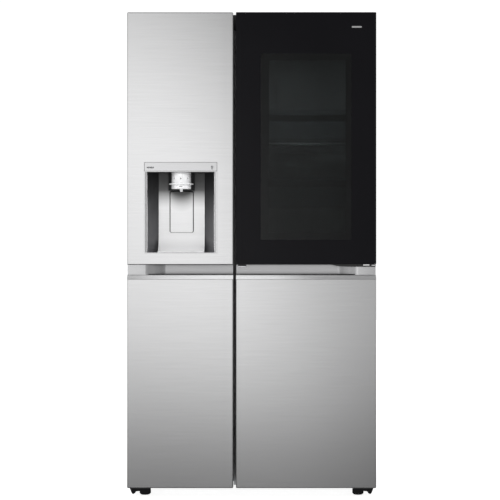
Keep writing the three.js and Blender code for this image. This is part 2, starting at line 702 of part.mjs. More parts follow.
function channelCuts(outerX, innerXEnd) {
  const way = Math.sign(innerXEnd - outerX);
  const deepFrom = outerX + way * (CHANNEL_END + CHANNEL_RAMP);
  const pocketX = [deepFrom, innerXEnd + way * PAST].sort((a, b) => a - b);
  return [
    prism("z", channelPlan(outerX, innerXEnd), [lowerTop, splitZ]),
    block(pocketX, [front + LIP_DEPTH + CLEAR, channelBack], [lowerTop - FINGER_DEPTH, lipTop]),
  ];
}

// A chamfered metal bar along the top of the lower front, with the finger pocket behind it.
function handleTrim(x) {
  const low = lowerTop + CLEAR;
  const profile = [
    [front, low],
    [front + LIP_DEPTH, low],
    [front + LIP_DEPTH, lipTop],
    [front + LIP_DEPTH - LIP_EDGE, lipTop],
    [front, low + 1],
  ];
  return prism("x", profile, x);
}

// A folded steel front: a sheet with its side edges, and its top or bottom edge, wrapped back.
function doorSkin(x, z, closedEnd, hingeX) {
  const wrapY = [front, front + SKIN_RETURN];
  const outside = block(x, wrapY, z);
  const insideZ = closedEnd === "top" ? [z[0] - PAST, z[1] - SHEET] : [z[0] + SHEET, z[1] + PAST];
  const inside = block(inset(x, SHEET), [front + SHEET, wrapY[1] + PAST], insideZ);
  const hingeHole = rod("z", [hingeX, axisY], inset(z, -PAST), HINGE_PIN + 2 * PIN_PLAY);
  return cut(outside, inside, hingeHole);
}

function hingeBores(x) {
  const radius = HINGE_PIN + PIN_PLAY;
  const depth = PIN_GRIP + 2;
  return [
    rod("z", [x, axisY], [doorTop - depth, doorTop + PAST], radius),
    rod("z", [x, axisY], [DOOR_FLOOR_GAP - PAST, DOOR_FLOOR_GAP + depth], radius),
  ];
}

function dykes(x, hingeSide) {
  const clear = [DYKE_HINGE_CLEAR, DYKE_FREE_CLEAR];
  const outer = inset(x, ...(hingeSide === "left" ? clear : clear.reverse()));
  const y = [doorBack - PAST, doorBack + DYKE_REACH];
  const z = inset([CAVITY_FLOOR, cavityTop], DYKE_END_CLEAR);
  return {
    solids: [
      block([outer[0], outer[0] + DYKE_WIDTH], y, z),
      block([outer[1] - DYKE_WIDTH, outer[1]], y, z),
    ],
    between: inset(outer, DYKE_WIDTH),
  };
}

// Takes the two vertical back edges off a door core.
function backChamfers(x) {
  const z = inset(doorZ, -PAST);
  return x.map((edge, i) => {
    const way = i === 0 ? 1 : -1;
    const corner = [
      [edge - way * PAST, doorBack + PAST],
      [edge - way * PAST, doorBack - BACK_CHAMFER],
      [edge, doorBack - BACK_CHAMFER],
      [edge + way * BACK_CHAMFER, doorBack],
      [edge + way * BACK_CHAMFER, doorBack + PAST],
    ];
    return prism("z", corner, z);
  });
}

function gasket(x) {
  const hole = [inset(x, -GASKET_OFFSET), inset([CAVITY_FLOOR, cavityTop], -GASKET_OFFSET)];
  const rim = hole.map((range) => inset(range, -GASKET_WIDTH));
  const y = inset([doorBack, caseFront], CLEAR);
  return cut(block(rim[0], y, rim[1]), block(hole[0], inset(y, -PAST), hole[1]));
}

const binZ = (low) => [low, low + BIN_HEIGHT];

// An open-topped bin that hangs between the dykes on the back of a door.
function bin(between, z, yLow = doorBack + CLEAR, wall = BIN_WALL) {
  const x = inset(between, 0.5);
  const y = [yLow, binBack];
  return cut(block(x, y, z), block(inset(x, wall), inset(y, wall), [z[0] + wall, z[1] + PAST]));
}

// ---------------------------------------------------------------- freezer door
const freezerDykes = dykes(freezerX, "left");

// Plan of the dispenser recess, whose side walls curve in to the back plate; grown outwards by a wall.
function recessPlan(grow) {
  const mouth = RECESS_WIDTH / 2 + grow;
  const deep = PLATE_WIDTH / 2 + 1 + grow;
  const yBack = recessBack + grow;
  const curve = new THREE.QuadraticBezierCurve(
    new THREE.Vector2(mouth, front),
    new THREE.Vector2(mouth - 12, front + RECESS_DEPTH * 0.6),
    new THREE.Vector2(deep, yBack),
  );
  const side = curve.getPoints(7).map(({ x, y }) => [x, y]);
  const rightSide = side.map(([x, y]) => [recessX + x, y]);
  const leftSide = side.map(([x, y]) => [recessX - x, y]).reverse();
  return [...rightSide, ...leftSide];
}

const paddlePocket = (grow) =>
  block(
    around(recessX, PADDLE.width / 2 + PADDLE.gap + grow),
    [recessBack - PAST, recessBack + PADDLE.pocket + grow],
    inset(paddleZ, -PADDLE.gap - grow),
  );

function dispenserHousing() {
  const tub = join(
    prism("z", recessPlan(HOUSING_WALL), inset(recessZ, -HOUSING_WALL)),
    paddlePocket(HOUSING_WALL),
  );
  const mouth = block(
    around(recessX, RECESS_WIDTH / 2),
    [front - PAST, front + 0.01],
    recessZ,
  );
  const stub = PADDLE_PIVOT.stub + PADDLE.gap;
  const pivots = [-1, 1].map((side) => {
    const outer = recessX + side * (PADDLE.width / 2 + PADDLE.gap + HOUSING_WALL / 2);
    const x = [outer, outer - side * (stub + HOUSING_WALL / 2)].sort((a, b) => a - b);
    return rod("x", [pivotY + 2 * PADDLE.thick, pivotZ], x, PADDLE_PIVOT.radius, 16);
  });
  const hollow = cut(tub, prism("z", recessPlan(0), recessZ), paddlePocket(0), mouth);
  return join(hollow, ...pivots);
}

function dispenserBackPlate() {
  const corner = [plateFront, recessZ[0] + CLEAR];
  const radius = PLATE_CURVE;
  const arc = (offset) => {
    const centre = [corner[0] - radius, corner[1] + radius];
    return Array.from({ length: 9 }, (_, i) => {
      const angle = (-Math.PI / 2) * (1 - i / 8);
      const reach = radius - offset;
      return [centre[0] + reach * Math.cos(angle), centre[1] + reach * Math.sin(angle)];
    });
  };
  const frontY = front + PLATE_FRONT_GAP;
  const top = recessZ[1] - CLEAR;
  const outer = arc(-PLATE_THICK).map(([y, z]) => [y, Math.max(z, corner[1])]);
  const inner = arc(0).map(([y, z]) => [y, z + PLATE_THICK]);
  const outline = [
    [frontY, corner[1]],
    ...outer,
    [plateFront + PLATE_THICK, top],
    [plateFront, top],
    ...inner.reverse(),
    [frontY, corner[1] + PLATE_THICK],
  ];
  const plate = prism("x", outline, around(recessX, PLATE_WIDTH / 2));
  const paddleHole = block(
    around(recessX, PADDLE.width / 2 + PADDLE.gap),
    inset([plateFront, recessBack], -PAST),
    inset(paddleZ, -PADDLE.gap),
  );
  return cut(plate, paddleHole);
}

function dispenserPanel() {
  const x = around(recessX, RECESS_WIDTH / 2 + HOUSING_WALL - CLEAR);
  const z = [stripZ[0] + HOUSING_WALL + CLEAR, stripZ[1] + HOUSING_WALL];
  return block(x, [front, front + STRIP_DEPTH], z);
}

// Where a dispenser button sits on the round head, and the way it faces.
const buttonTurns = [-BUTTON.spread, 0, BUTTON.spread].map(THREE.MathUtils.degToRad);

function buttonBlock(grow, depth) {
  const reach = HEAD_RADIUS + BUTTON.proud;
  const x = around(0, BUTTON.width / 2 + grow);
  const z = around(headBottom + BUTTON.up, BUTTON.height / 2 + grow);
  return block(x, [-reach - (grow ? PAST : 0), -reach + depth], z);
}

function dispenserHead() {
  const flangeZ = [headBottom + HEAD_FLANGE.low, headBottom + HEAD_FLANGE.low + HEAD_FLANGE.height];
  const body = join(
    rod("z", [0, 0], [headBottom, recessZ[1] - CLEAR], HEAD_RADIUS, 48),
    rod("z", [0, 0], flangeZ, HEAD_FLANGE.radius, 48),
    rod("z", [0, 0], [headBottom - NOZZLE.length, headBottom + 1], NOZZLE.radius, 16),
  );
  const cutBack = [plateFront - CLEAR - headY, HEAD_FLANGE.radius + PAST];
  const cutZ = [headBottom - NOZZLE.length - PAST, recessZ[1]];
  const behind = block(around(0, HEAD_FLANGE.radius + PAST), cutBack, cutZ);
  const pocket = geometryOf(buttonBlock(CLEAR, BUTTON.depth + BUTTON.travel + CLEAR));
  const pockets = buttonTurns.map((turn) => solid(pocket.clone().rotateZ(turn)));
  return cut(body, behind, ...pockets);
}

function dispenserPaddle() {
  const half = PADDLE.width / 2;
  const y = [plateFront, plateFront + PADDLE.thick];
  const plate = block(around(recessX, half), y, paddleZ);
  const eye = [pivotY + 2 * PADDLE.thick, pivotZ];
  const ears = [-1, 1].map((side) => {
    const x = [recessX + side * half, recessX + side * (half - PADDLE_PIVOT.stub)].sort((a, b) => a - b);
    const ear = join(block(x, [y[0], eye[0]], around(pivotZ, 5)), rod("x", eye, x, 5, 20));
    return ear;
  });
  const bore = rod("x", eye, around(recessX, half + PAST), PADDLE_PIVOT.radius + PADDLE_PIVOT.play, 20);
  return cut(join(plate, ...ears), bore);
}

function freezerDoorCore() {
  const x = inset(freezerDoorX, CORE_INSET);
  const body = join(
    block(x, [front + CORE_INSET, doorBack], inset(doorZ, CORE_INSET)),
    ...freezerDykes.solids,
  );
  const grown = HOUSING_WALL + CLEAR;
  const mouth = around(recessX, RECESS_WIDTH / 2 + grown);
  const dispenserCuts = [
    prism("z", recessPlan(grown), inset(recessZ, -grown)),
    paddlePocket(grown),
    block(mouth, [front - PAST, front + STRIP_DEPTH + CLEAR], [recessZ[0] - grown, stripZ[1] + grown]),
  ];
  return cut(
    body,
    ...dispenserCuts,
    ...channelCuts(freezerDoorX[0], freezerDoorX[1]),
    ...hingeBores(axisX.left),
    ...backChamfers(x),
  );
}

function freezerUpperSkin() {
  const skin = doorSkin(freezerDoorX, [splitZ, doorTop], "top", axisX.left);
  const edge = HOUSING_WALL + CLEAR;
  const mouth = block(
    around(recessX, RECESS_WIDTH / 2 + edge),
    [front - PAST, front + SHEET + PAST],
    [recessZ[0] - edge, stripZ[1] + edge],
  );
  return cut(skin, mouth);
}

const iceBinZ = [stripZ[1] + ICE_BIN.rise, stripZ[1] + ICE_BIN.rise + ICE_BIN.height];
const iceMakerZ = [iceBinZ[1] + ICE_MAKER.gap, iceBinZ[1] + ICE_MAKER.gap + ICE_MAKER.height];

function iceMaker() {
  const x = inset(freezerDykes.between, 0.5);
  const y = [doorBack + CLEAR, binBack - ICE_MAKER.back];
  const hollow = [inset(x, ICE_MAKER.side, ICE_MAKER.motor), inset(y, ICE_MAKER.wall)];
  const housing = block(x, y, iceMakerZ);
  const tray = block(...hollow, [iceMakerZ[0] + ICE_MAKER.tray, iceMakerZ[1] + PAST]);
  const outlet = block(...hollow, [iceMakerZ[0] - PAST, iceMakerZ[0] + ICE_MAKER.outlet]);
  return cut(housing, tray, outlet);
}

// ---------------------------------------------------------------- fridge door
const fridgeDykes = dykes(fridgeX, "right");
const accessX = fridgeDykes.between;
const accessZ = [splitZ + ACCESS_BOTTOM, cavityTop - DYKE_END_CLEAR];

function fridgeDoorCore() {
  const x = inset(fridgeDoorX, CORE_INSET);
  const [pinX, pinY] = outerAxis;
  const lowerFrontTop = splitZ - OUTER_BOTTOM_GAP;
  const lower = cut(
    block(x, [front + CORE_INSET, doorBack], [doorZ[0] + CORE_INSET, lowerFrontTop]),
    ...channelCuts(fridgeDoorX[1], fridgeDoorX[0]),
  );
  const ring = block(x, [ringFront, doorBack], [lowerFrontTop - 1, doorTop]);
  const earZ = [doorTop - EAR_DROP, doorTop - EAR_DROP + EAR_THICK];
  const earX = around(pinX, EAR_HALF);
  const hinges = [
    block(earX, [pinY - EAR_HALF, ringFront + 1], earZ),
    rod("z", outerAxis, [earZ[0] - OUTER_PIN_GRIP, earZ[0] + 1], OUTER_PIN),
    rod("z", outerAxis, [lowerFrontTop - 1, splitZ + OUTER_PIN_GRIP], OUTER_PIN),
  ];
  const access = block(accessX, [ringFront - PAST, doorBack + PAST], accessZ);
  return cut(
    join(lower, cut(ring, access), ...fridgeDykes.solids, ...hinges),
    ...hingeBores(axisX.right),
    ...backChamfers(x),
  );
}

function outerDoorFrame() {
  const y = [front + GLASS + CLEAR, outerBack];
  const windowX = inset(fridgeDoorX, WINDOW_SIDE);
  const windowZ = [splitZ + WINDOW_BOTTOM, doorTop - WINDOW_TOP];
  const [pinX, pinY] = outerAxis;
  const earNotch = EAR_HALF * Math.SQRT2 + 1;
  const bore = OUTER_PIN + PIN_PLAY;
  const button = RELEASE_BUTTON;
  const buttonX = [fridgeDoorX[0] + button.in, fridgeDoorX[0] + button.in + button.width];
  const buttonY = [front + button.back, front + button.back + button.depth];
  return cut(
    block(fridgeDoorX, y, [splitZ, doorTop]),
    block(windowX, inset(y, -PAST), windowZ),
    block(
      [pinX - earNotch, right + PAST],
      [pinY - earNotch, outerBack + PAST],
      [doorTop - EAR_DROP - 2, doorTop + PAST],
    ),
    rod("z", outerAxis, [doorTop - EAR_DROP - OUTER_PIN_GRIP - PAST, doorTop], bore),
    rod("z", outerAxis, [splitZ - PAST, splitZ + OUTER_PIN_GRIP + 2], bore),
    block(inset(buttonX, -CLEAR), inset(buttonY, -CLEAR), [splitZ - PAST, splitZ + button.height + CLEAR]),
  );
}

function outerDoorGlass() {
  return block(fridgeDoorX, [front, front + GLASS], [splitZ, doorTop]);
}

function outerDoorWindow() {
  const x = inset(fridgeDoorX, WINDOW_SIDE + CLEAR);
  const z = [splitZ + WINDOW_BOTTOM + CLEAR, doorTop - WINDOW_TOP - CLEAR];
  return block(x, inset([outerBack - 2 * GLASS, outerBack], GLASS / 2), z);
}

function outerDoorGasket() {
  const y = inset([outerBack, ringFront], CLEAR);
  const hole = [inset(accessX, -OUTER_GASKET_OFFSET), inset(accessZ, -OUTER_GASKET_OFFSET)];
  const rim = hole.map((range) => inset(range, -GASKET_WIDTH));
  return cut(block(rim[0], y, rim[1]), block(hole[0], inset(y, -PAST), hole[1]));
}

function releaseButton() {
  const { width, depth, height, proud, travel, in: inward, back: behind } = RELEASE_BUTTON;
  const x = [fridgeDoorX[0] + inward, fridgeDoorX[0] + inward + width];
  const y = [front + behind, front + behind + depth];
  return block(x, y, [splitZ - proud, splitZ + height - travel - CLEAR]);
}

// ---------------------------------------------------------------- assembly
function buildCabinet() {
  const cabinet = group("cabinet");
  const shelfBack = fridgeBack - AIR_DUCT.depth - SHELF_SIDE_GAP;
  const freezerShelfBack = freezerBack - EVAPORATOR_SPACE - SHELF_SIDE_GAP;
  add(cabinet, "outer_case", outerCase(), greyPaint);
  add(cabinet, "back_panel", backPanel(), zinc);
  add(cabinet, "insulation_foam", insulationFoam(), foam);
  add(cabinet, "freezer_liner", liner(freezerX, freezerBack, freezerShelves, freezerDrawers), whitePlastic);
  add(cabinet, "fridge_liner", liner(fridgeX, fridgeBack, fridgeShelves, crispers), whitePlastic);
  add(cabinet, "base_frame", baseFrame(), zinc);
  add(cabinet, "machine_cover", machineCover(), zinc);
  add(cabinet, "compressor", compressor(), blackPlastic);
  add(cabinet, "condenser", condenser(), zinc);
  add(cabinet, "evaporator", evaporator(), zinc);
  add(cabinet, "evaporator_cover", evaporatorCover(), whitePlastic);
  add(cabinet, "fridge_air_duct", airDuct(), whitePlastic);
  add(cabinet, "top_cover", topCover(), blackPlastic);
  for (const { name, x, inward } of hingeSides) {
    add(cabinet, `top_hinge_${name}`, topHinge(x), zinc);
    add(cabinet, `lower_hinge_${name}`, lowerHinge(x, inward), zinc);
    const footPlace = [x + inward * FOOT_PLACE.beside, axisY + FOOT_PLACE.forward, 0];
    add(cabinet, `levelling_foot_${name}`, levellingFoot(), blackPlastic, footPlace);
    const rollerPlace = [roller[name], roller.y, ROLLER.radius];
    add(cabinet, `rear_roller_${name}`, rollerWheel(), whitePlastic, rollerPlace);
  }
  add(cabinet, "condenser_fan", condenserFan(), blackPlastic, [fanX, ...fanAxis]);
  ["crisper_cover", "fridge_shelf_lower", "fridge_shelf_upper"].forEach((name, i) => {
    add(cabinet, name, shelf(fridgeX, fridgeShelves[i], shelfBack), clearGlass);
  });
  ["freezer_shelf_lower", "freezer_shelf_upper"].forEach((name, i) => {
    add(cabinet, name, shelf(freezerX, freezerShelves[i], freezerShelfBack), clearGlass);
  });
  ["lower", "upper"].forEach((level, i) => {
    add(cabinet, `crisper_${level}`, drawer(fridgeX, crispers[i]), clearPlastic);
    add(cabinet, `freezer_drawer_${level}`, drawer(freezerX, freezerDrawers[i]), clearPlastic);
  });
}

function buildFreezerDoor() {
  const door = group("freezer_door");
  add(door, "freezer_panel_upper", freezerUpperSkin(), steel);
  const lowerSkin = doorSkin(freezerDoorX, [doorZ[0], lowerTop], "bottom", axisX.left);
  add(door, "freezer_panel_lower", lowerSkin, steel);
  add(door, "freezer_door_liner", freezerDoorCore(), whitePlastic);
  add(door, "freezer_gasket", gasket(freezerX), greyRubber);
  add(door, "freezer_handle_trim", handleTrim(freezerDoorX), silver);
  const stackTop = coverOver(freezerDrawers);
  const lowerBinZ = binZ(stackTop + FREEZER_BIN_RISE.lower);
  const upperBinZ = binZ(stackTop + FREEZER_BIN_RISE.upper);
  add(door, "freezer_bin_lower", bin(freezerDykes.between, lowerBinZ), clearPlastic);
  add(door, "freezer_bin_upper", bin(freezerDykes.between, upperBinZ), clearPlastic);
  add(door, "ice_bin", bin(freezerDykes.between, iceBinZ), clearPlastic);
  add(door, "ice_maker", iceMaker(), whitePlastic);
  add(door, "dispenser_housing", dispenserHousing(), darkPlastic);
  add(door, "dispenser_back_plate", dispenserBackPlate(), steel);
  add(door, "dispenser_panel", dispenserPanel(), silver);
  const headPlace = [recessX, headY, 0];
  add(door, "dispenser_head", dispenserHead(), silver, headPlace);
  add(door, "dispenser_paddle", dispenserPaddle(), steel);
  ["cubed", "water", "crushed"].forEach((name, i) => {
    add(door, `button_${name}`, buttonBlock(0, BUTTON.depth), silver, headPlace, buttonTurns[i]);
  });
}

function buildFridgeDoor() {
  const door = group("fridge_door");
  const outerBinFront = ringFront + BIN_RING_GAP;
  const lowerBinZ = binZ(coverOver(crispers) + FRIDGE_BIN_RISE);
  const middleBinZ = binZ(accessZ[0] + OUTER_BIN_RISE.middle);
  const upperBinZ = binZ(accessZ[0] + OUTER_BIN_RISE.upper);
  const lowerSkin = doorSkin(fridgeDoorX, [doorZ[0], lowerTop], "bottom", axisX.right);
  add(door, "fridge_panel_lower", lowerSkin, steel);
  add(door, "fridge_door_liner", fridgeDoorCore(), whitePlastic);
  add(door, "fridge_gasket", gasket(fridgeX), greyRubber);
  add(door, "fridge_handle_trim", handleTrim(fridgeDoorX), silver);
  add(door, "door_bin_lower", bin(accessX, lowerBinZ), clearPlastic);
  add(door, "door_bin_middle", bin(accessX, middleBinZ, outerBinFront), clearPlastic);
  add(door, "door_bin_upper", bin(accessX, upperBinZ, outerBinFront), clearPlastic);
}

function buildOuterDoor() {
  const door = group("outer_door");
  add(door, "outer_door_glass", outerDoorGlass(), tintedGlass);
  add(door, "outer_door_frame", outerDoorFrame(), blackPlastic);
  add(door, "outer_door_window", outerDoorWindow(), tintedGlass);
  add(door, "outer_door_gasket", outerDoorGasket(), greyRubber);
  add(door, "outer_door_button", releaseButton(), blackPlastic);
}

buildCabinet();
buildFreezerDoor();
buildFridgeDoor();
buildOuterDoor();

export default refrigerator;
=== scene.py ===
"""Looks of a side by side refrigerator: brushed steel fronts, a black glass outer door, an ice and water
dispenser, and the fittings inside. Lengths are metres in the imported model's frame: X to the right, Y to the
back, Z up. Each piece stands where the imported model's boxes say."""

import math

import bmesh
import bpy
from mathutils import Matrix, Vector


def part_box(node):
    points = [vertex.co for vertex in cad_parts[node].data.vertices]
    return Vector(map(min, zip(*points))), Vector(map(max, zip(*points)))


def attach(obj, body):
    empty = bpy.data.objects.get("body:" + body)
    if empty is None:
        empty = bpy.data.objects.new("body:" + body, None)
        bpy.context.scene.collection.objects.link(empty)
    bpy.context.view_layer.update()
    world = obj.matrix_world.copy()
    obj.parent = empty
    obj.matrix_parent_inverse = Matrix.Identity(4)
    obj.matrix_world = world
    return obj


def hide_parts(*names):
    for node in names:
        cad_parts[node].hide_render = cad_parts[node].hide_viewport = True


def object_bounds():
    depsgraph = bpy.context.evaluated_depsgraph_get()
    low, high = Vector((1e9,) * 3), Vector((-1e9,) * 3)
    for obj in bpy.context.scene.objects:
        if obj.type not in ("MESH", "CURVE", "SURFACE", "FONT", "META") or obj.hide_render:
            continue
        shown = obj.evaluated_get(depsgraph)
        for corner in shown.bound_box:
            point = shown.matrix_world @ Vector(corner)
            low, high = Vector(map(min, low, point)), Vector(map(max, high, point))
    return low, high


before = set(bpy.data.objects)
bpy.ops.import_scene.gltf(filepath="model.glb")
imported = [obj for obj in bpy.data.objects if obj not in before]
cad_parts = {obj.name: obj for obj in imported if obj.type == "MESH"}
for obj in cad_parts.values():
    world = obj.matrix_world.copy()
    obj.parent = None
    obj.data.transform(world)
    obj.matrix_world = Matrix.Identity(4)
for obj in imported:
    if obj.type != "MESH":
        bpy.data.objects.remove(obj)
cad_low, cad_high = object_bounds()

MM = 0.001
SHEET = 1.2 * MM  # folded steel
FRONT_ROUND = 4 * MM  # on the folded edges of the steel fronts
GLASS_BACK = 0.3 * MM  # glass face behind the steel faces, so that its badge stays flush with them
CHANNEL_END = 64 * MM  # shallow outer stretch of a handle channel
CHANNEL_RAMP = 76 * MM  # stretch over which it gets deep
CHANNEL_STEPS = 18  # points along the ramp
CHANNEL_SHALLOW = 13.9 * MM  # depths behind the steel front
CHANNEL_DEEP = 45 * MM
CHANNEL_SKIN = 0.4 * MM  # thickness of its steel lining
POCKET_FROM = 4  # point of a channel's plan where it is deep enough for fingers; the painted shadow strip above the pocket starts there
POCKET_DEPTH = 39 * MM  # of the finger pocket, below the top of the handle trim
SKIN_GAP = 0.3 * MM
PLATE_CURVE = 70 * MM  # radius of the splash plate's foot
PLATE_THICK = 1.5 * MM
LEVER_HALF = 42 * MM  # half width of the dispenser's lever
RING_RADIUS = 36.6 * MM
PRINT_RISE = 0.15 * MM  # thickness of a printed mark on the head
SHARP = math.radians(32)  # edges above this angle are rounded or split


# ---------------------------------------------------------------- reading the frame
def spans(node):
    """((x0, x1), (y0, y1), (z0, z1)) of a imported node."""
    low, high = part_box(node)
    return tuple(zip(low, high))


def inset(span, first, last=None):
    return (span[0] + first, span[1] - (first if last is None else last))


def around(centre, half):
    return (centre - half, centre + half)


def middle(span):
    return (span[0] + span[1]) / 2


def share(span, part):
    return span[0] + (span[1] - span[0]) * part


# ---------------------------------------------------------------- mesh work
AXES = {"x": (1, 2, 0), "y": (0, 2, 1), "z": (0, 1, 2)}  # where an outline's u, v and depth go


def place(axis, u, v, w):
    point = [0.0, 0.0, 0.0]
    for index, value in zip(AXES[axis], (u, v, w)):
        point[index] = value
    return point


def rounded(u, v, radius, steps=6):
    """Outline of a rectangle with round corners."""
    corners = [(u[1] - radius, v[1] - radius, 0), (u[0] + radius, v[1] - radius, 1)]
    corners += [(u[0] + radius, v[0] + radius, 2), (u[1] - radius, v[0] + radius, 3)]
    outline = []
    for cu, cv, quarter in corners:
        for step in range(steps + 1):
            angle = (quarter + step / steps) * math.pi / 2
            outline.append((cu + radius * math.cos(angle), cv + radius * math.sin(angle)))
    return outline


def circle(u, v, radius, steps=32):
    turns = [2 * math.pi * i / steps for i in range(steps)]
    return [(u + radius * math.cos(a), v + radius * math.sin(a)) for a in turns]


class Form:
    """A mesh under construction, from closed bodies."""

    def __init__(self):
        self.bm = bmesh.new()

    def prism(self, axis, outline, depth):
        """A straight body with that outline, between two depths along the axis."""
        ends = [[self.bm.verts.new(place(axis, u, v, w)) for u, v in outline] for w in depth]
        count = len(outline)
        for i in range(count):
            j = (i + 1) % count
            self.bm.faces.new((ends[0][i], ends[0][j], ends[1][j], ends[1][i]))
        self.bm.faces.new(ends[0][::-1])
        self.bm.faces.new(ends[1])
        return self

    def block(self, x, y, z):
        return self.prism("z", [(x[0], y[0]), (x[1], y[0]), (x[1], y[1]), (x[0], y[1])], z)

    def slab(self, axis, u, v, depth, radius):
        return self.prism(axis, rounded(u, v, radius), depth)

    def rod(self, axis, centre, radius, depth, steps=32):
        return self.prism(axis, circle(*centre, radius, steps), depth)

    def pierced(self, axis, outline, holes, depth):
        """A plate with holes in it."""
        edges = []
        for loop in [outline, *holes]:
            points = [self.bm.verts.new(place(axis, u, v, depth[0])) for u, v in loop]
            edges += [self.bm.edges.new((a, b)) for a, b in zip(points, points[1:] + points[:1])]
        filled = bmesh.ops.triangle_fill(self.bm, edges=edges, use_beauty=True)["geom"]
        faces = [g for g in filled if isinstance(g, bmesh.types.BMFace)]
        raised = bmesh.ops.extrude_face_region(self.bm, geom=faces, use_keep_orig=True)["geom"]
        moved = [g for g in raised if isinstance(g, bmesh.types.BMVert)]
        bmesh.ops.translate(self.bm, verts=moved, vec=place(axis, 0, 0, depth[1] - depth[0]))
        return self

    def sheet(self, axis, line, depth, thick):
        """A bent sheet: an open line swept along the axis, thickened to its left."""
        back = []
        for i, (u, v) in enumerate(line):
            before, after = line[max(i - 1, 0)], line[min(i + 1, len(line) - 1)]
            du, dv = after[0] - before[0], after[1] - before[1]
            length = math.hypot(du, dv)
            back.append((u - dv / length * thick, v + du / length * thick))
        return self.prism(axis, list(line) + back[::-1], depth)

    def lathe(self, axis, centre, profile, steps=64):
        """A body of revolution: (radius, depth) pairs turned round the axis, closed on itself."""
        rings = []
        for radius, w in profile:
            if radius < 1e-7:
                rings.append([self.bm.verts.new(place(axis, *centre, w))])
                continue
            rings.append([self.bm.verts.new(place(axis, u, v, w)) for u, v in circle(*centre, radius, steps)])
        pairs = list(zip(rings, rings[1:]))
        if len(rings[0]) > 1 or len(rings[-1]) > 1:
            pairs.append((rings[-1], rings[0]))
        for first, second in pairs:
            for i in range(steps):
                j = (i + 1) % steps
                corners = [first[i % len(first)], first[j % len(first)], second[j % len(second)]]
                corners.append(second[i % len(second)])
                unique = list(dict.fromkeys(corners))
                if len(unique) > 2:
                    self.bm.faces.new(unique)
        return self

    def turned(self, angle, centre):
        """Turned about an upright line through the centre."""
        bmesh.ops.rotate(self.bm, verts=self.bm.verts, cent=centre, matrix=Matrix.Rotation(angle, 3, "Z"))


def keep_flats(obj):
    flats = obj.modifiers.new("Flats", "WEIGHTED_NORMAL")
    flats.keep_sharp = True


def smooth_finish(obj, bevel, segments):
    """Rounds the edges by a bevel and keeps the flats flat, or just keeps the sharp edges sharp."""
    obj.data.polygons.foreach_set("use_smooth", [True] * len(obj.data.polygons))
    weld = obj.modifiers.new("Weld", "WELD")
    weld.merge_threshold = 0.01 * MM
    if bevel:
        edge = obj.modifiers.new("Rounded edges", "BEVEL")
        edge.width = bevel
        edge.segments = segments
        edge.limit_method = "ANGLE"
        edge.angle_limit = SHARP
        keep_flats(obj)
    else:
        sharp = obj.modifiers.new("Sharp edges", "EDGE_SPLIT")
        sharp.split_angle = SHARP


def piece(name, form, body, material, replaces=(), bevel=0.0, segments=2):
    """Turns a form into an object that rides on a body."""
    bmesh.ops.recalc_face_normals(form.bm, faces=form.bm.faces)
    mesh = bpy.data.meshes.new(name)
    form.bm.to_mesh(mesh)
    form.bm.free()
    mesh.materials.append(material)
    obj = bpy.data.objects.new(name, mesh)
    bpy.context.scene.collection.objects.link(obj)
    smooth_finish(obj, bevel, segments)
    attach(obj, body)
    if replaces:
        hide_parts(*replaces)
    return obj


def dress(material, nodes, bevel=0.0, segments=2):
    """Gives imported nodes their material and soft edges."""
    for node in nodes:
        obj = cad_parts[node]
        normals = obj.data.attributes.get("custom_normal")
        if normals:
            obj.data.attributes.remove(normals)
        obj.data.materials.clear()
        obj.data.materials.append(material)
        smooth_finish(obj, bevel, segments)


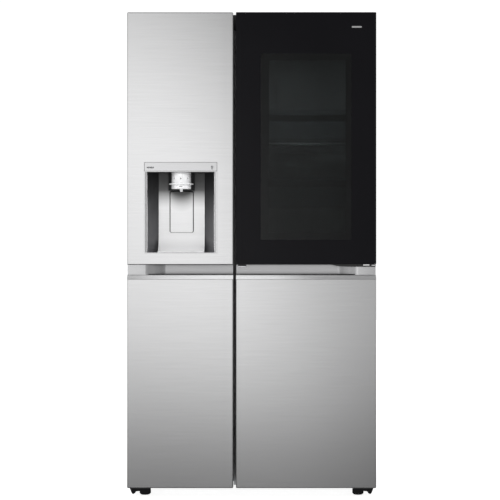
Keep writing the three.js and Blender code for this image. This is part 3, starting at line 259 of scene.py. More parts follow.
# ---------------------------------------------------------------- materials
class Shader:
    """A Principled material and the few nodes that vary it over the surface."""

    def __init__(self, name, color, rough, metal=0.0, **sockets):
        self.material = bpy.data.materials.new(name)
        self.material.use_nodes = True
        self.material.diffuse_color = (*color, 1)
        self.tree = self.material.node_tree
        self.bsdf = self.tree.nodes["Principled BSDF"]
        self.bsdf.inputs["Base Color"].default_value = (*color, 1)
        self.bsdf.inputs["Roughness"].default_value = rough
        self.bsdf.inputs["Metallic"].default_value = metal
        for socket, value in sockets.items():
            self.bsdf.inputs[socket.replace("_", " ")].default_value = value
        self.color = color
        self.normal = None

    def node(self, kind, **inputs):
        made = self.tree.nodes.new("ShaderNode" + kind)
        for name, value in inputs.items():
            self.feed(made.inputs[name], value)
        return made

    def feed(self, socket, value):
        if isinstance(value, bpy.types.NodeSocket):
            self.tree.links.new(value, socket)
        else:
            socket.default_value = value

    def coords(self, scale=(1, 1, 1)):
        place_in = self.node("TexCoord").outputs["Object"]
        return self.node("Mapping", Vector=place_in, Scale=scale).outputs["Vector"]

    def noise(self, scale, stretch=(1, 1, 1), detail=3.0, roughness=0.5):
        made = self.node("TexNoise", Vector=self.coords(stretch), Scale=scale, Detail=detail)
        made.inputs["Roughness"].default_value = roughness
        return made.outputs["Fac"]

    def cells(self, scale):
        return self.node("TexVoronoi", Vector=self.coords(), Scale=scale).outputs["Color"]

    def ramp(self, fac, stops):
        made = self.node("ValToRGB", Fac=fac)
        elements = made.color_ramp.elements
        while len(elements) < len(stops):
            elements.new(0.5)
        for element, (at, value) in zip(elements, stops):
            element.position = at
            element.color = (value, value, value, 1) if isinstance(value, (int, float)) else (*value, 1)
        return made.outputs["Color"]

    def math(self, operation, first, second):
        made = self.node("Math")
        made.operation = operation
        self.feed(made.inputs[0], first)
        self.feed(made.inputs[1], second)
        return made.outputs["Value"]

    def mapped(self, value, low, high, ends=(0, 1)):
        """The value's way from low to high, as a number between the ends."""
        made = self.node("MapRange", Value=value)
        for name, number in zip(("From Min", "From Max", "To Min", "To Max"), (low, high, *ends)):
            made.inputs[name].default_value = number
        return made.outputs["Result"]

    def level(self, axis, low, high, ends=(0, 1)):
        """Where a point lies from low to high along an axis."""
        return self.mapped(self.node("SeparateXYZ", Vector=self.coords()).outputs[axis], low, high, ends)

    def times(self, first, second):
        """Product of two colours."""
        made = self.node("VectorMath")
        made.operation = "MULTIPLY"
        self.feed(made.inputs[0], first)
        self.feed(made.inputs[1], second)
        return made.outputs["Vector"]

    def tint(self, fac, low, high, spread=(0.3, 0.7)):
        """Base colour from low to high times the plain colour, along a pattern."""
        stops = [(at, tuple(c * k for c in self.color)) for at, k in zip(spread, (low, high))]
        self.feed(self.bsdf.inputs["Base Color"], self.ramp(fac, stops))

    def grade(self, fac, low, high, spread=(0.3, 0.7)):
        """Roughness from low to high along a pattern."""
        self.feed(self.bsdf.inputs["Roughness"], self.ramp(fac, list(zip(spread, (low, high)))))

    def bump(self, fac, height, strength=1.0):
        made = self.node("Bump", Height=fac, Distance=height, Strength=strength)
        if self.normal is not None:
            self.feed(made.inputs["Normal"], self.normal)
        self.normal = made.outputs["Normal"]
        self.feed(self.bsdf.inputs["Normal"], self.normal)


GRAIN = {"x": (1, 50, 50), "z": (50, 50, 1)}  # noise squeezed into scratches along an axis
GRAIN_TURN = {"x": 0.25, "z": 0.0}  # turn of the stretched highlight, in turns


def brushed(name, color, rough, along="x", contrast=0.02, stretched=0.35):
    """Metal with a fine grain along one axis, in scratches of many lengths."""
    grain = GRAIN[along]
    metal = Shader(name, color, rough, 1.0, Anisotropic=stretched, Anisotropic_Rotation=GRAIN_TURN[along])
    metal.tint(metal.noise(5, grain, 6, 0.72), 1 - contrast, 1 + contrast, (0.35, 0.65))
    metal.grade(metal.noise(9, grain, 4, 0.6), rough - 0.012, rough + 0.012)
    metal.bump(metal.noise(30, grain, 3), 0.01 * MM, 0.06)
    return metal.material


def shade_metal(metal, shade, contrast, smooth, rough):
    """Colour of a metal brushed along X, darkened by a painted shade, and its roughness."""
    grain = metal.ramp(metal.noise(5, GRAIN["x"], 6, 0.72), [(0.35, 1 - contrast), (0.65, 1 + contrast)])
    metal.feed(metal.bsdf.inputs["Base Color"], metal.times(metal.times(shade, grain), metal.color))
    metal.grade(metal.noise(9, GRAIN["x"], 4, 0.6), smooth, rough)


def channel_steel():
    """Brushed steel of the handle channels, with painted shade where they are deep, darkest near the top and
    bottom of the deep stretch.
    """
    metal = Shader("channel_steel", (0.8, 0.8, 0.81), 0.24, 1.0, Anisotropic=0.3,
                   Anisotropic_Rotation=GRAIN_TURN["x"])
    panel_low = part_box("freezer_panel_upper")[0]
    # painted shade: the colour darkens with the channel's depth
    deep = metal.level("Y", panel_low.y + CHANNEL_SHALLOW, panel_low.y + CHANNEL_DEEP)
    shade = metal.ramp(deep, [(0.0, 1.05), (0.15, 0.95), (0.5, 0.74), (0.97, 0.79)])
    # more painted shade where the deep stretch meets the trim and the upper panel
    height = metal.level("Z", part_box("freezer_handle_trim")[1].z, panel_low.z)
    painted_edge_shade = metal.ramp(height, [(0.0, 0.5), (0.18, 0.22), (0.35, 0.0), (0.72, 0.0), (1.0, 0.25)])
    left = metal.math("SUBTRACT", 1.0, metal.math("MULTIPLY", deep, painted_edge_shade))
    shade_metal(metal, metal.times(shade, left), 0.015, 0.23, 0.26)
    return metal.material


def splash_metal():
    """Brushed metal of the dispenser's back, with a painted shadow under the ceiling and behind the head."""
    metal = Shader("splash_metal", (0.93, 0.93, 0.935), 0.42, 0.3, Anisotropic=0.4,
                   Anisotropic_Rotation=GRAIN_TURN["x"])
    low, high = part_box("dispenser_head")
    centre = (low.x + high.x) / 2
    way = metal.node("SeparateXYZ", Vector=metal.coords())
    aside = metal.math("MULTIPLY", metal.math("SUBTRACT", way.outputs["X"], centre), 1 / LEVER_HALF)
    hump = metal.math("SUBTRACT", 1.0, metal.math("MULTIPLY", aside, aside))
    lower = 16 * MM  # how much lower the painted shadow reaches behind the middle of the head
    drop = metal.math("MULTIPLY", metal.math("MAXIMUM", hump, 0.0), lower)
    height = metal.math("ADD", way.outputs["Z"], drop)
    # painted shadow: the base colour darkens up towards the ceiling and behind the head
    stops = [(0.0, 1.0), (0.22, 1.0), (0.4, 0.84), (0.6, 0.56), (0.77, 0.3), (0.87, 0.13), (1.0, 0.1)]
    dark = metal.ramp(metal.mapped(height, low.z - 80 * MM, low.z + 20 * MM), stops)
    shade_metal(metal, dark, 0.02, 0.4, 0.44)
    return metal.material


def recess_plastic():
    """Dark moulded lining with painted shade, darkest under the ceiling and painted lighter towards the
    bottom, with a plated front rim.
    """
    lining = Shader("recess_plastic", (0.1, 0.1, 0.105), 0.42, Specular_IOR_Level=0.35)
    low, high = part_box("dispenser_housing")
    # painted shade and light: the colour is scaled by height, from 5 times at the bottom to 0.16 times under
    # the ceiling
    stops = [(0.0, 5.0), (0.03, 3.0), (0.1, 1.7), (0.2, 1.25), (0.35, 1.05), (0.55, 0.64), (0.8, 0.34)]
    shade = lining.ramp(lining.level("Z", low.z, high.z), [*stops, (1.0, 0.16)])
    drift = lining.ramp(lining.noise(30, detail=4), [(0.3, 0.94), (0.7, 1.05)])
    dark = lining.times(lining.times(shade, drift), lining.color)
    plated = lining.level("Y", low.y + 0.2 * MM, low.y + 0.5 * MM, (1, 0))
    both = lining.node("Mix")
    both.data_type = "RGBA"
    for index, value in ((0, plated), (6, dark), (7, (0.8, 0.8, 0.805, 1))):  # factor and the two colours
        lining.feed(both.inputs[index], value)
    lining.feed(lining.bsdf.inputs["Base Color"], both.outputs[2])
    lining.feed(lining.bsdf.inputs["Metallic"], plated)
    lining.feed(lining.bsdf.inputs["Roughness"], lining.ramp(plated, [(0.0, 0.42), (1.0, 0.18)]))
    lining.bump(lining.noise(1100, detail=2), 0.05 * MM, 0.25)
    return lining.material


def moulded(name, color, rough, grain=900, depth=0.05 * MM, **sockets):
    """Moulded plastic with a fine sparked grain and slow colour drift."""
    plastic = Shader(name, color, rough, **sockets)
    plastic.tint(plastic.noise(6, detail=4), 0.94, 1.05)
    plastic.grade(plastic.noise(35), max(rough - 0.06, 0.05), rough + 0.06)
    plastic.bump(plastic.noise(grain, detail=2), depth, 0.25)
    return plastic.material


def clear(name, color, rough, **sockets):
    """Glass or clear plastic with faint waviness and wipe marks."""
    glass = Shader(name, color, rough, Transmission_Weight=1.0, **sockets)
    glass.grade(glass.noise(18, (1, 1, 0.4), 4), rough, rough + 0.035, (0.45, 0.8))
    glass.tint(glass.noise(3), 0.97, 1.0)
    glass.bump(glass.noise(5), 0.2 * MM, 0.08)
    return glass.material


def galvanised():
    zinc = Shader("galvanised_steel", (0.6, 0.62, 0.63), 0.42, 1.0)
    flakes = zinc.cells(110)
    zinc.tint(flakes, 0.86, 1.08, (0.1, 0.9))
    zinc.grade(flakes, 0.32, 0.52, (0.1, 0.9))
    return zinc.material


def painted():
    """Satin paint with a light orange peel."""
    paint = Shader("case_paint", (0.33, 0.335, 0.345), 0.38, 0.35)
    paint.tint(paint.noise(3, detail=5), 0.95, 1.04)
    paint.grade(paint.noise(60), 0.33, 0.43)
    paint.bump(paint.noise(420, detail=2), 0.08 * MM, 0.35)
    return paint.material


def rubber():
    seal = Shader("door_seal", (0.3, 0.305, 0.31), 0.6)
    seal.tint(seal.noise(14, detail=5), 0.88, 1.08)
    seal.bump(seal.node("TexWave", Vector=seal.coords((0, 1, 0)), Scale=170.0).outputs["Fac"], 0.4 * MM, 0.5)
    return seal.material


def rigid_foam():
    foam = Shader("insulation_foam", (0.84, 0.74, 0.5), 0.85)
    foam.tint(foam.noise(45, detail=6), 0.86, 1.06)
    foam.bump(foam.noise(380), 0.6 * MM, 0.6)
    return foam.material


def two_tone(name, back_from):
    """A door core: white lining behind, grey edge mouldings in front of back_from."""
    lining = Shader(name, (0.86, 0.87, 0.88), 0.34)
    behind = lining.level("Y", back_from - 0.5 * MM, back_from + 0.5 * MM)
    stops = [(0.4, (0.11, 0.112, 0.116)), (0.6, lining.color)]
    lining.feed(lining.bsdf.inputs["Base Color"], lining.ramp(behind, stops))
    lining.grade(lining.noise(35), 0.3, 0.4)
    lining.bump(lining.noise(700, detail=2), 0.05 * MM, 0.25)
    return lining.material


def make_materials():
    return {
        "steel": brushed("brushed_steel", (0.8, 0.8, 0.805), 0.15, stretched=0.3),
        "plate": splash_metal(),
        "silver": brushed("satin_aluminium", (0.93, 0.93, 0.94), 0.24, contrast=0.006),
        "channel": channel_steel(),
        "chrome": brushed("polished_trim", (0.92, 0.92, 0.92), 0.12, contrast=0.01),
        "pearl": moulded("pearl_head", (0.9, 0.9, 0.91), 0.3, 1200, 0.02 * MM, Metallic=0.2),
        "paint": painted(),
        "zinc": galvanised(),
        "white": moulded("white_lining", (0.86, 0.87, 0.88), 0.32),
        "grey": moulded("grey_plastic", (0.36, 0.365, 0.375), 0.4),
        "dark": recess_plastic(),
        "black": moulded("black_plastic", (0.018, 0.018, 0.019), 0.45),
        "chute": moulded("chute_plastic", (0.02, 0.02, 0.021), 0.5, Specular_IOR_Level=0.2),
        "foot": moulded("foot_rubber", (0.01, 0.01, 0.011), 0.7, Specular_IOR_Level=0.15),
        "enamel": moulded("black_enamel", (0.02, 0.02, 0.02), 0.3, 300, 0.1 * MM),
        "seal": rubber(),
        "foam": rigid_foam(),
        "door_core": two_tone("door_core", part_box("freezer_gasket")[0].y - 3 * MM),
        "glass": moulded("black_glass", (0.0072, 0.007, 0.0086), 0.05, 20, 0.05 * MM,
                         Specular_IOR_Level=0.09),
        "smoked": clear("smoked_glass", (0.26, 0.28, 0.28), 0.02, IOR=1.3, Specular_IOR_Level=0.14),
        "pane": clear("window_pane", (0.36, 0.39, 0.385), 0.02, IOR=1.3),
        "border": moulded("border_print", (0.022, 0.021, 0.025), 0.5),
        "shelf": clear("shelf_glass", (0.88, 0.96, 0.94), 0.03, IOR=1.45),
        "bin": clear("clear_bin", (0.9, 0.94, 0.96), 0.07, IOR=1.45),
        "copper": brushed("copper_tube", (0.78, 0.42, 0.28), 0.3, "z"),
        "print": moulded("grey_print", (0.1, 0.1, 0.105), 0.5),
        "lamp": moulded("lamp_lens", (0.95, 0.96, 1.0), 0.3, Emission_Strength=1.2,
                        Emission_Color=(0.95, 0.97, 1.0, 1)),
    }


LOOK = make_materials()


# ---------------------------------------------------------------- steel fronts and handle channels
def steel_front(name, node, body, open_end, hole=None):
    """A folded steel front with round edges, open at the back and at one end."""
    x, y, z = spans(node)
    form = Form().block(x, y, z)
    bm = form.bm
    open_z = z[0] if open_end == "bottom" else z[1]

    def kept(point):
        return abs(point.y - y[1]) > MM and abs(point.z - open_z) > MM

    folds = [e for e in bm.edges if kept((e.verts[0].co + e.verts[1].co) / 2)]
    bmesh.ops.bevel(bm, geom=folds, offset=FRONT_ROUND, segments=6, profile=0.5, affect="EDGES")
    gone = [f for f in bm.faces if not kept(f.calc_center_median())]
    bmesh.ops.delete(bm, geom=gone, context="FACES")
    if hole:
        for axis, span in zip((0, 2), hole):
            for edge in span:
                at, normal = Vector((0, 0, 0)), Vector((0, 0, 0))
                at[axis], normal[axis] = edge, 1
                parts = bm.verts[:] + bm.edges[:] + bm.faces[:]
                bmesh.ops.bisect_plane(bm, geom=parts, plane_co=at, plane_no=normal)
        centres = [(f, f.calc_center_median()) for f in bm.faces]
        (x0, x1), (z0, z1) = hole
        inside = [f for f, c in centres if c.y < y[0] + MM and x0 < c.x < x1 and z0 < c.z < z1]
        bmesh.ops.delete(bm, geom=inside, context="FACES")
    front = piece(name, form, body, LOOK["steel"], [node])
    sheet = front.modifiers.new("Sheet", "SOLIDIFY")
    sheet.thickness = SHEET
    front.modifiers.move(2, 1)  # before the sharp edges are split
    keep_flats(front)


def channel_line(outer, inner, off):
    """Plan of a handle channel from the door's outer end to its inner end, off in front of the core."""
    way = math.copysign(1, inner - outer)
    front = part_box("freezer_panel_upper")[0].y
    shallow = front + CHANNEL_SHALLOW + 2 * SKIN_GAP
    deep = front + CHANNEL_DEEP
    line = [(outer + way * SHEET, shallow - off)]
    for step in range(CHANNEL_STEPS + 1):
        part = step / CHANNEL_STEPS
        sunk = (1 - math.cos(math.pi * part)) / 2
        along = outer + way * (CHANNEL_END + CHANNEL_RAMP * part)
        line.append((along, shallow + (deep - shallow) * sunk - off))
    line.append((inner - way * SHEET, deep - off))
    return line


def handle_channel(side, body, outer, inner, top):
    """Steel lining of a door's handle channel and of the finger pocket below it, with a black strip of
    painted shadow above the handle trim.
    """
    trim = spans(f"{side}_handle_trim")
    trim_top = trim[2][1]
    line = channel_line(outer, inner, SKIN_GAP)
    thick = -math.copysign(CHANNEL_SKIN, inner - outer)
    shell = Form().sheet("z", line, (trim_top + SKIN_GAP, top), thick)
    deep_x = sorted((line[-2][0], line[-1][0]))
    deep_y = line[-1][1]
    floor_z = trim_top - POCKET_DEPTH + SKIN_GAP
    shell.block(deep_x, (deep_y - CHANNEL_SKIN, deep_y), (floor_z, trim_top + SKIN_GAP))
    shell.block(deep_x, (trim[1][1] + SKIN_GAP, deep_y), (floor_z, floor_z + CHANNEL_SKIN))
    # its metal carries painted shade where the channel is deep
    piece(f"{side}_channel_lining", shell, body, LOOK["channel"])
    # painted shadow: a black strip stands for the shade above the finger pocket
    along = channel_line(outer, inner, 2 * SKIN_GAP + 0.1 * MM)[POCKET_FROM:]
    edge = Form().sheet("z", along, (trim_top + SKIN_GAP, trim_top + 3.6 * MM), thick)
    piece(f"{side}_pocket_edge", edge, body, LOOK["black"])


def doors():
    left, right = spans("freezer_panel_upper"), spans("fridge_panel_lower")
    strip, housing = spans("dispenser_panel"), spans("dispenser_housing")
    hole = (inset(housing[0], -0.3 * MM), (housing[2][0] - 0.3 * MM, strip[2][1] + 0.3 * MM))
    steel_front("freezer_front_upper", "freezer_panel_upper", "freezer_door", "bottom", hole)
    steel_front("freezer_front_lower", "freezer_panel_lower", "freezer_door", "top")
    steel_front("fridge_front_lower", "fridge_panel_lower", "fridge_door", "top")
    split = left[2][0]
    handle_channel("freezer", "freezer_door", left[0][0], left[0][1], split - SKIN_GAP)
    handle_channel("fridge", "fridge_door", right[0][1], right[0][0], split - 3 * MM)
    line = channel_line(left[0][0], left[0][1], 2 * SKIN_GAP)
    rim = left[1][0] + 2 * MM
    outline = [(line[0][0], rim), *line, (line[-1][0], rim)]
    cap = Form().prism("z", outline, (split - 2.4 * MM, split - SKIN_GAP))
    piece("freezer_front_end_cap", cap, "freezer_door", LOOK["black"])
    dress(LOOK["silver"], ["freezer_handle_trim", "fridge_handle_trim"], 0.5 * MM)
    dress(LOOK["door_core"], ["freezer_door_liner", "fridge_door_liner"], 1.5 * MM, 3)
    dress(LOOK["seal"], ["freezer_gasket", "fridge_gasket", "outer_door_gasket"], 1.5 * MM, 3)


# ---------------------------------------------------------------- outer glass door
def outer_door():
    x, y, z = spans("outer_door_glass")
    window = spans("outer_door_window")
    face = (y[0] + GLASS_BACK, y[1])
    hole = [window[0], window[2]]
    surround = Form().pierced("y", rounded(x, z, 3 * MM), [rounded(*hole, 2 * MM)], face)
    piece("door_glass", surround, "outer_door", LOOK["glass"], ["outer_door_glass"], 0.5 * MM)
    insert = [inset(span, 0.05 * MM) for span in hole]
    tinted = Form().slab("y", *insert, face, 2 * MM)
    piece("door_glass_window", tinted, "outer_door", LOOK["smoked"])
    unprinted = rounded(inset(hole[0], 30 * MM, 20 * MM), inset(hole[1], 24 * MM), 4 * MM)
    border = Form().pierced("y", rounded(*insert, 2 * MM), [unprinted], (y[1] + 0.08 * MM, y[1] + 0.2 * MM))
    piece("window_border", border, "outer_door", LOOK["border"])
    badge = Form().slab("y", around(x[1] - 71.5 * MM, 18.5 * MM), around(z[1] - 54 * MM, 3 * MM),
                        (y[0], face[0] + 0.05 * MM), 2.9 * MM)
    piece("badge_bar", badge, "outer_door", LOOK["chrome"], bevel=0.1 * MM)
    dress(LOOK["black"], ["outer_door_frame"], 1.2 * MM, 3)
    dress(LOOK["pane"], ["outer_door_window"], 0.4 * MM)
    release_button()
    hinge_arm(x[1], y[0], z[0])


def release_button():
    """The part of the release button that hangs below the glass, with its bright underside."""
    x, y, z = spans("outer_door_button")
    dress(LOOK["black"], ["outer_door_button"], 0.8 * MM)
    seam = z[0] - 4.3 * MM
    cap = Form().slab("z", x, y, (seam, z[0] + 1 * MM), 2 * MM)
    piece("release_cap", cap, "outer_door_button", LOOK["black"], bevel=0.3 * MM)
    sole = Form().slab("z", x, y, (z[0] - 8.3 * MM, seam), 2 * MM)
    piece("release_sole", sole, "outer_door_button", LOOK["pearl"], bevel=0.6 * MM)


def hinge_arm(right, front, split):
    """Black arm under the glass door, slender towards the middle of the door, with its two bright fixings."""
    top = split - 0.6 * MM
    outline = [(-166, -0.6), (-152, -4.6), (-134, -8), (-105, -9.2), (-4, -9.6), (-1.6, -7), (-1.6, 0)]
    outline = [(right + u * MM, top + v * MM) for u, v in outline]
    arm = Form().prism("y", outline, (front + 2 * MM, front + 13 * MM))
    piece("outer_hinge_arm", arm, "fridge_door", LOOK["enamel"], bevel=0.5 * MM)
    proud = (front + 1.4 * MM, front + 3 * MM)
    plate_z, pin_z = (top - 5 * MM, top - 1 * MM), (top - 5.2 * MM, top - 2.6 * MM)
    fixings = Form().slab("y", (right - 48 * MM, right - 25 * MM), plate_z, proud, 1.5 * MM)
    fixings.slab("y", (right - 17 * MM, right - 3 * MM), pin_z, proud, 1 * MM)
    piece("outer_hinge_fixings", fixings, "fridge_door", LOOK["pearl"], bevel=0.3 * MM)


# ---------------------------------------------------------------- dispenser
def arc_band(centre, radius, half_angle, z, thick):
    """A thin band round the front of the dispenser head."""
    turns = [-math.pi / 2 - half_angle + 2 * half_angle * i / 8 for i in range(9)]
    line = [(centre[0] + radius * math.cos(a), centre[1] + radius * math.sin(a)) for a in turns]
    return Form().sheet("z", line, z, -thick)


def splash_plate(x, y, z, front, opening):
    """Metal back of the recess, curved forward at its foot, with a bead where it ends."""
    bottom = z[0] + PLATE_THICK
    bend_top = bottom + PLATE_CURVE
    flat = [(x[0], bend_top), (x[1], bend_top), (x[1], z[1]), (x[0], z[1])]
    plate = Form().pierced("y", flat, [opening], (front, front + PLATE_THICK))
    hub = (front - PLATE_CURVE, bend_top)
    turns = [math.pi / 2 * i / 24 for i in range(25)]
    bend = [(hub[0] + PLATE_CURVE * math.cos(a), hub[1] - PLATE_CURVE * math.sin(a)) for a in turns]
    plate.sheet("x", [*bend, (y[0], bottom)], x, PLATE_THICK)
    plate.rod("x", (y[0] + 2 * MM, bottom + 1.4 * MM), 1.8 * MM, inset(x, 0.5 * MM), 20)
    # its metal carries a painted shadow under the ceiling and behind the head
    piece("splash_plate", plate, "freezer_door", LOOK["plate"], ["dispenser_back_plate"], 0.3 * MM)


def dispenser_lever(x, z, front):
    """The swinging plate that starts the flow, with its two ears."""
    lever = Form().slab("y", x, z, (front, front + 4 * MM), 6 * MM)
    ear_y, ear_z = (front + 3 * MM, front + 14.5 * MM), around(z[1] - 5 * MM, 4.5 * MM)
    for ear in ((x[0], x[0] + 2.4 * MM), (x[1] - 2.4 * MM, x[1])):
        lever.slab("x", ear_y, ear_z, ear, 2 * MM)
    # the lever wears the same metal, painted shadow under the head included
    piece("dispenser_lever", lever, "dispenser_paddle", LOOK["plate"], ["dispenser_paddle"],
          1.2 * MM, 3)


def dispenser():
    x, y, z = spans("dispenser_back_plate")
    centre = middle(x)
    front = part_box("dispenser_paddle")[0].y
    lever_x, lever_z = around(centre, LEVER_HALF), (z[0] + 74.7 * MM, z[0] + 226.2 * MM)
    opening = rounded(inset(lever_x, -3 * MM), inset(lever_z, -1.2 * MM, -3 * MM), 8 * MM)
    splash_plate(x, y, z, front, opening)
    dispenser_lever(lever_x, lever_z, front)
    # the housing's lining carries painted shade, darkest under the ceiling
    dress(LOOK["dark"], ["dispenser_housing"])
    dress(LOOK["pearl"], ["dispenser_head"], 0.4 * MM)
    dress(LOOK["pearl"], ["button_cubed", "button_water", "button_crushed"], 0.5 * MM)
    bezel()
    control_strip()
    dispenser_head(centre, front - 1 * MM)


def bezel():
    """Bright uprights at both sides of the recess, rounded into it."""
    x, y, z = spans("dispenser_housing")
    wide, deep, turn = 12 * MM, 18 * MM, 9 * MM
    form = Form()
    for side, outer in ((1, x[0] + 0.2 * MM), (-1, x[1] - 0.2 * MM)):
        inner = outer + side * wide
        corner = [(inner - side * turn * (1 - math.cos(a)), y[0] + turn * (1 - math.sin(a)) + 0.1 * MM)
                  for a in (math.pi / 2 * i / 10 for i in range(11))]
        corner.reverse()
        outline = [(outer, y[0] + 0.1 * MM), *corner, (inner, y[0] + deep), (outer, y[0] + deep)]
        form.prism("z", outline, (z[0] + 1.5 * MM, z[1] - 0.3 * MM))
    piece("dispenser_bezel", form, "freezer_door", LOOK["silver"])


def control_strip():
    """Bright strip above the recess, with five level marks and a lamp mark."""
    x, y, z = spans("dispenser_panel")
    face = y[0] + 0.2 * MM
    strip = Form().slab("y", inset(x, 0.5 * MM), inset(z, 0.4 * MM, 0.5 * MM), (face, y[1]), 2.5 * MM)
    piece("control_strip", strip, "freezer_door", LOOK["silver"], ["dispenser_panel"], 0.5 * MM)
    level = middle(z) - 3 * MM
    print_y = (y[0] + 0.05 * MM, face + 0.02 * MM)
    marks = Form()
    for i, tall in enumerate((2.4, 3.4, 2.9, 3.7, 2.6)):
        across = around(x[0] + (11.5 + 5.4 * i) * MM, 2.1 * MM)
        marks.slab("y", across, around(level, tall * MM), print_y, 1.5 * MM)
    piece("strip_level_marks", marks, "freezer_door", LOOK["print"])
    lamp_x = x[1] - 18 * MM
    rings = [circle(lamp_x, level + 2.4 * MM, radius, 24) for radius in (4.2 * MM, 1.8 * MM)]
    ring = Form().pierced("y", rings[0], rings[1:], print_y)
    ring.slab("y", around(lamp_x, 3.2 * MM), around(level - 5 * MM, 1.5 * MM), print_y, 1 * MM)
    piece("strip_lamp_mark", ring, "freezer_door", LOOK["print"])


def dispenser_head(centre, rear):
    """Bright ring, ice chute, nozzle and small mark of the head. Nothing goes behind rear."""
    y, z = spans("dispenser_head")[1:]
    hub = (centre, y[0] + 45 * MM)
    foot = z[0] + 10 * MM
    chamfer = 0.5 * MM
    profile = [(RING_RADIUS - chamfer, foot + 1.6 * MM), (RING_RADIUS, foot + 2.2 * MM),
               (RING_RADIUS, foot + 15 * MM), (RING_RADIUS - chamfer, foot + 15.6 * MM)]
    ring = Form().lathe("z", hub, profile, 96)
    clip_behind(ring, rear)
    piece("head_ring", ring, "freezer_door", LOOK["pearl"])
    chute_y, chute_z = (hub[1] + 8 * MM, rear), (z[0] + 5 * MM, z[1] - 0.3 * MM)
    chute = Form().slab("z", around(centre, 48 * MM), chute_y, chute_z, 6 * MM)
    piece("ice_chute", chute, "freezer_door", LOOK["chute"], bevel=0.8 * MM)
    end = z[0] + 0.2 * MM
    profile = [(0, end), (2.6 * MM, end), (5.4 * MM, z[0] + 4 * MM), (6.4 * MM, foot), (0, foot)]
    tip = Form().lathe("z", hub, profile, 32)
    piece("water_nozzle", tip, "freezer_door", LOOK["white"])
    mark = arc_band(hub, RING_RADIUS + 0.1 * MM, 0.15, around(foot + 8.5 * MM, 1.1 * MM), PRINT_RISE)
    piece("head_mark", mark, "freezer_door", LOOK["print"])
    button_signs(hub)


def button_signs(hub):
    """A cube, a drop and three grains, on the three buttons round the head."""
    centre = hub[0]
    level = middle(spans("button_water")[2])
    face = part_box("button_water")[0].y
    print_y = (face - 0.12 * MM, face + 0.05 * MM)
    outer = rounded(around(centre, 2.8 * MM), around(level, 2.8 * MM), 0.6 * MM)
    inner = rounded(around(centre, 1.9 * MM), around(level, 1.9 * MM), 0.3 * MM)
    cube = Form().pierced("y", outer, [inner], print_y)
    belly, shoulder = 2.2 * MM, (1.3 * MM, level + 1.2 * MM)
    outline = [(centre, level + 3.6 * MM), (centre - shoulder[0], shoulder[1])]
    outline += [(centre + belly * math.cos(a), level - 1.2 * MM + belly * math.sin(a))
                for a in [math.radians(160 + 20 * i) for i in range(12)]]
    outline.append((centre + shoulder[0], shoulder[1]))
    drop = Form().prism("y", outline, print_y)
    grains = Form()
    for u, v in ((-1.9, -1.6), (1.9, -1.6), (0, 1.7)):
        grains.prism("y", circle(centre + u * MM, level + v * MM, 1.7 * MM, 4), print_y)
    spread = math.radians(44)
    for name, sign, turn in (("cubed", cube, -spread), ("water", drop, 0), ("crushed", grains, spread)):
        sign.turned(turn, (*hub, level))
        piece(f"sign_{name}", sign, f"button_{name}", LOOK["print"])


def clip_behind(form, y):
    """Cuts off what lies behind a depth and closes the cut."""
    bm = form.bm
    parts = bm.verts[:] + bm.edges[:] + bm.faces[:]
    cut = bmesh.ops.bisect_plane(bm, geom=parts, plane_co=(0, y, 0), plane_no=(0, 1, 0), clear_outer=True)
    rim = [g for g in cut["geom_cut"] if isinstance(g, bmesh.types.BMEdge)]
    bmesh.ops.holes_fill(bm, edges=rim, sides=0)


# ---------------------------------------------------------------- fittings inside
def trims():
    """Edges of the glass shelves, bands on the bins and handles on the drawers."""
    shelves = ["crisper_cover", "fridge_shelf_lower", "fridge_shelf_upper", "freezer_shelf_lower",
               "freezer_shelf_upper"]
    for node in shelves:
        x, y, z = spans(node)
        front = Form().slab("x", (y[0] - 2.5 * MM, y[0] + 9 * MM), inset(z, -2.2 * MM), x, 2 * MM)
        piece(f"{node}_front_trim", front, "cabinet", LOOK["silver"], bevel=0.4 * MM)
        rear = Form().slab("x", (y[1] - 12 * MM, y[1] - 0.5 * MM), inset(z, -1.8 * MM), x, 1.5 * MM)
        piece(f"{node}_rear_trim", rear, "cabinet", LOOK["white"], bevel=0.4 * MM)
    dress(LOOK["shelf"], shelves, 0.8 * MM)
    bins = {"freezer_door": ["freezer_bin_lower", "freezer_bin_upper", "ice_bin"],
            "fridge_door": ["door_bin_lower", "door_bin_middle", "door_bin_upper"]}
    for body, nodes in bins.items():
        for node in nodes:
            x, y, z = spans(node)
            band_z, band_y = (z[1] - 30 * MM, z[1] - 6 * MM), (y[1] - 0.4 * MM, y[1] + 0.7 * MM)
            band = Form().slab("y", inset(x, 4 * MM), band_z, band_y, 5 * MM)
            piece(f"{node}_band", band, body, LOOK["silver"], bevel=0.3 * MM)
        dress(LOOK["bin"], nodes, 1.2 * MM, 3)
    for node in ("crisper_lower", "crisper_upper", "freezer_drawer_lower", "freezer_drawer_upper"):
        x, y, z = spans(node)
        grip_z, grip_y = (z[1] - 20 * MM, z[1] - 4 * MM), (y[0] - 0.7 * MM, y[0] + 0.4 * MM)
        grip = Form().slab("y", inset(x, 40 * MM), grip_z, grip_y, 6 * MM)
        piece(f"{node}_grip", grip, node, LOOK["silver"], bevel=0.3 * MM)
        dress(LOOK["bin"], [node], 1 * MM)


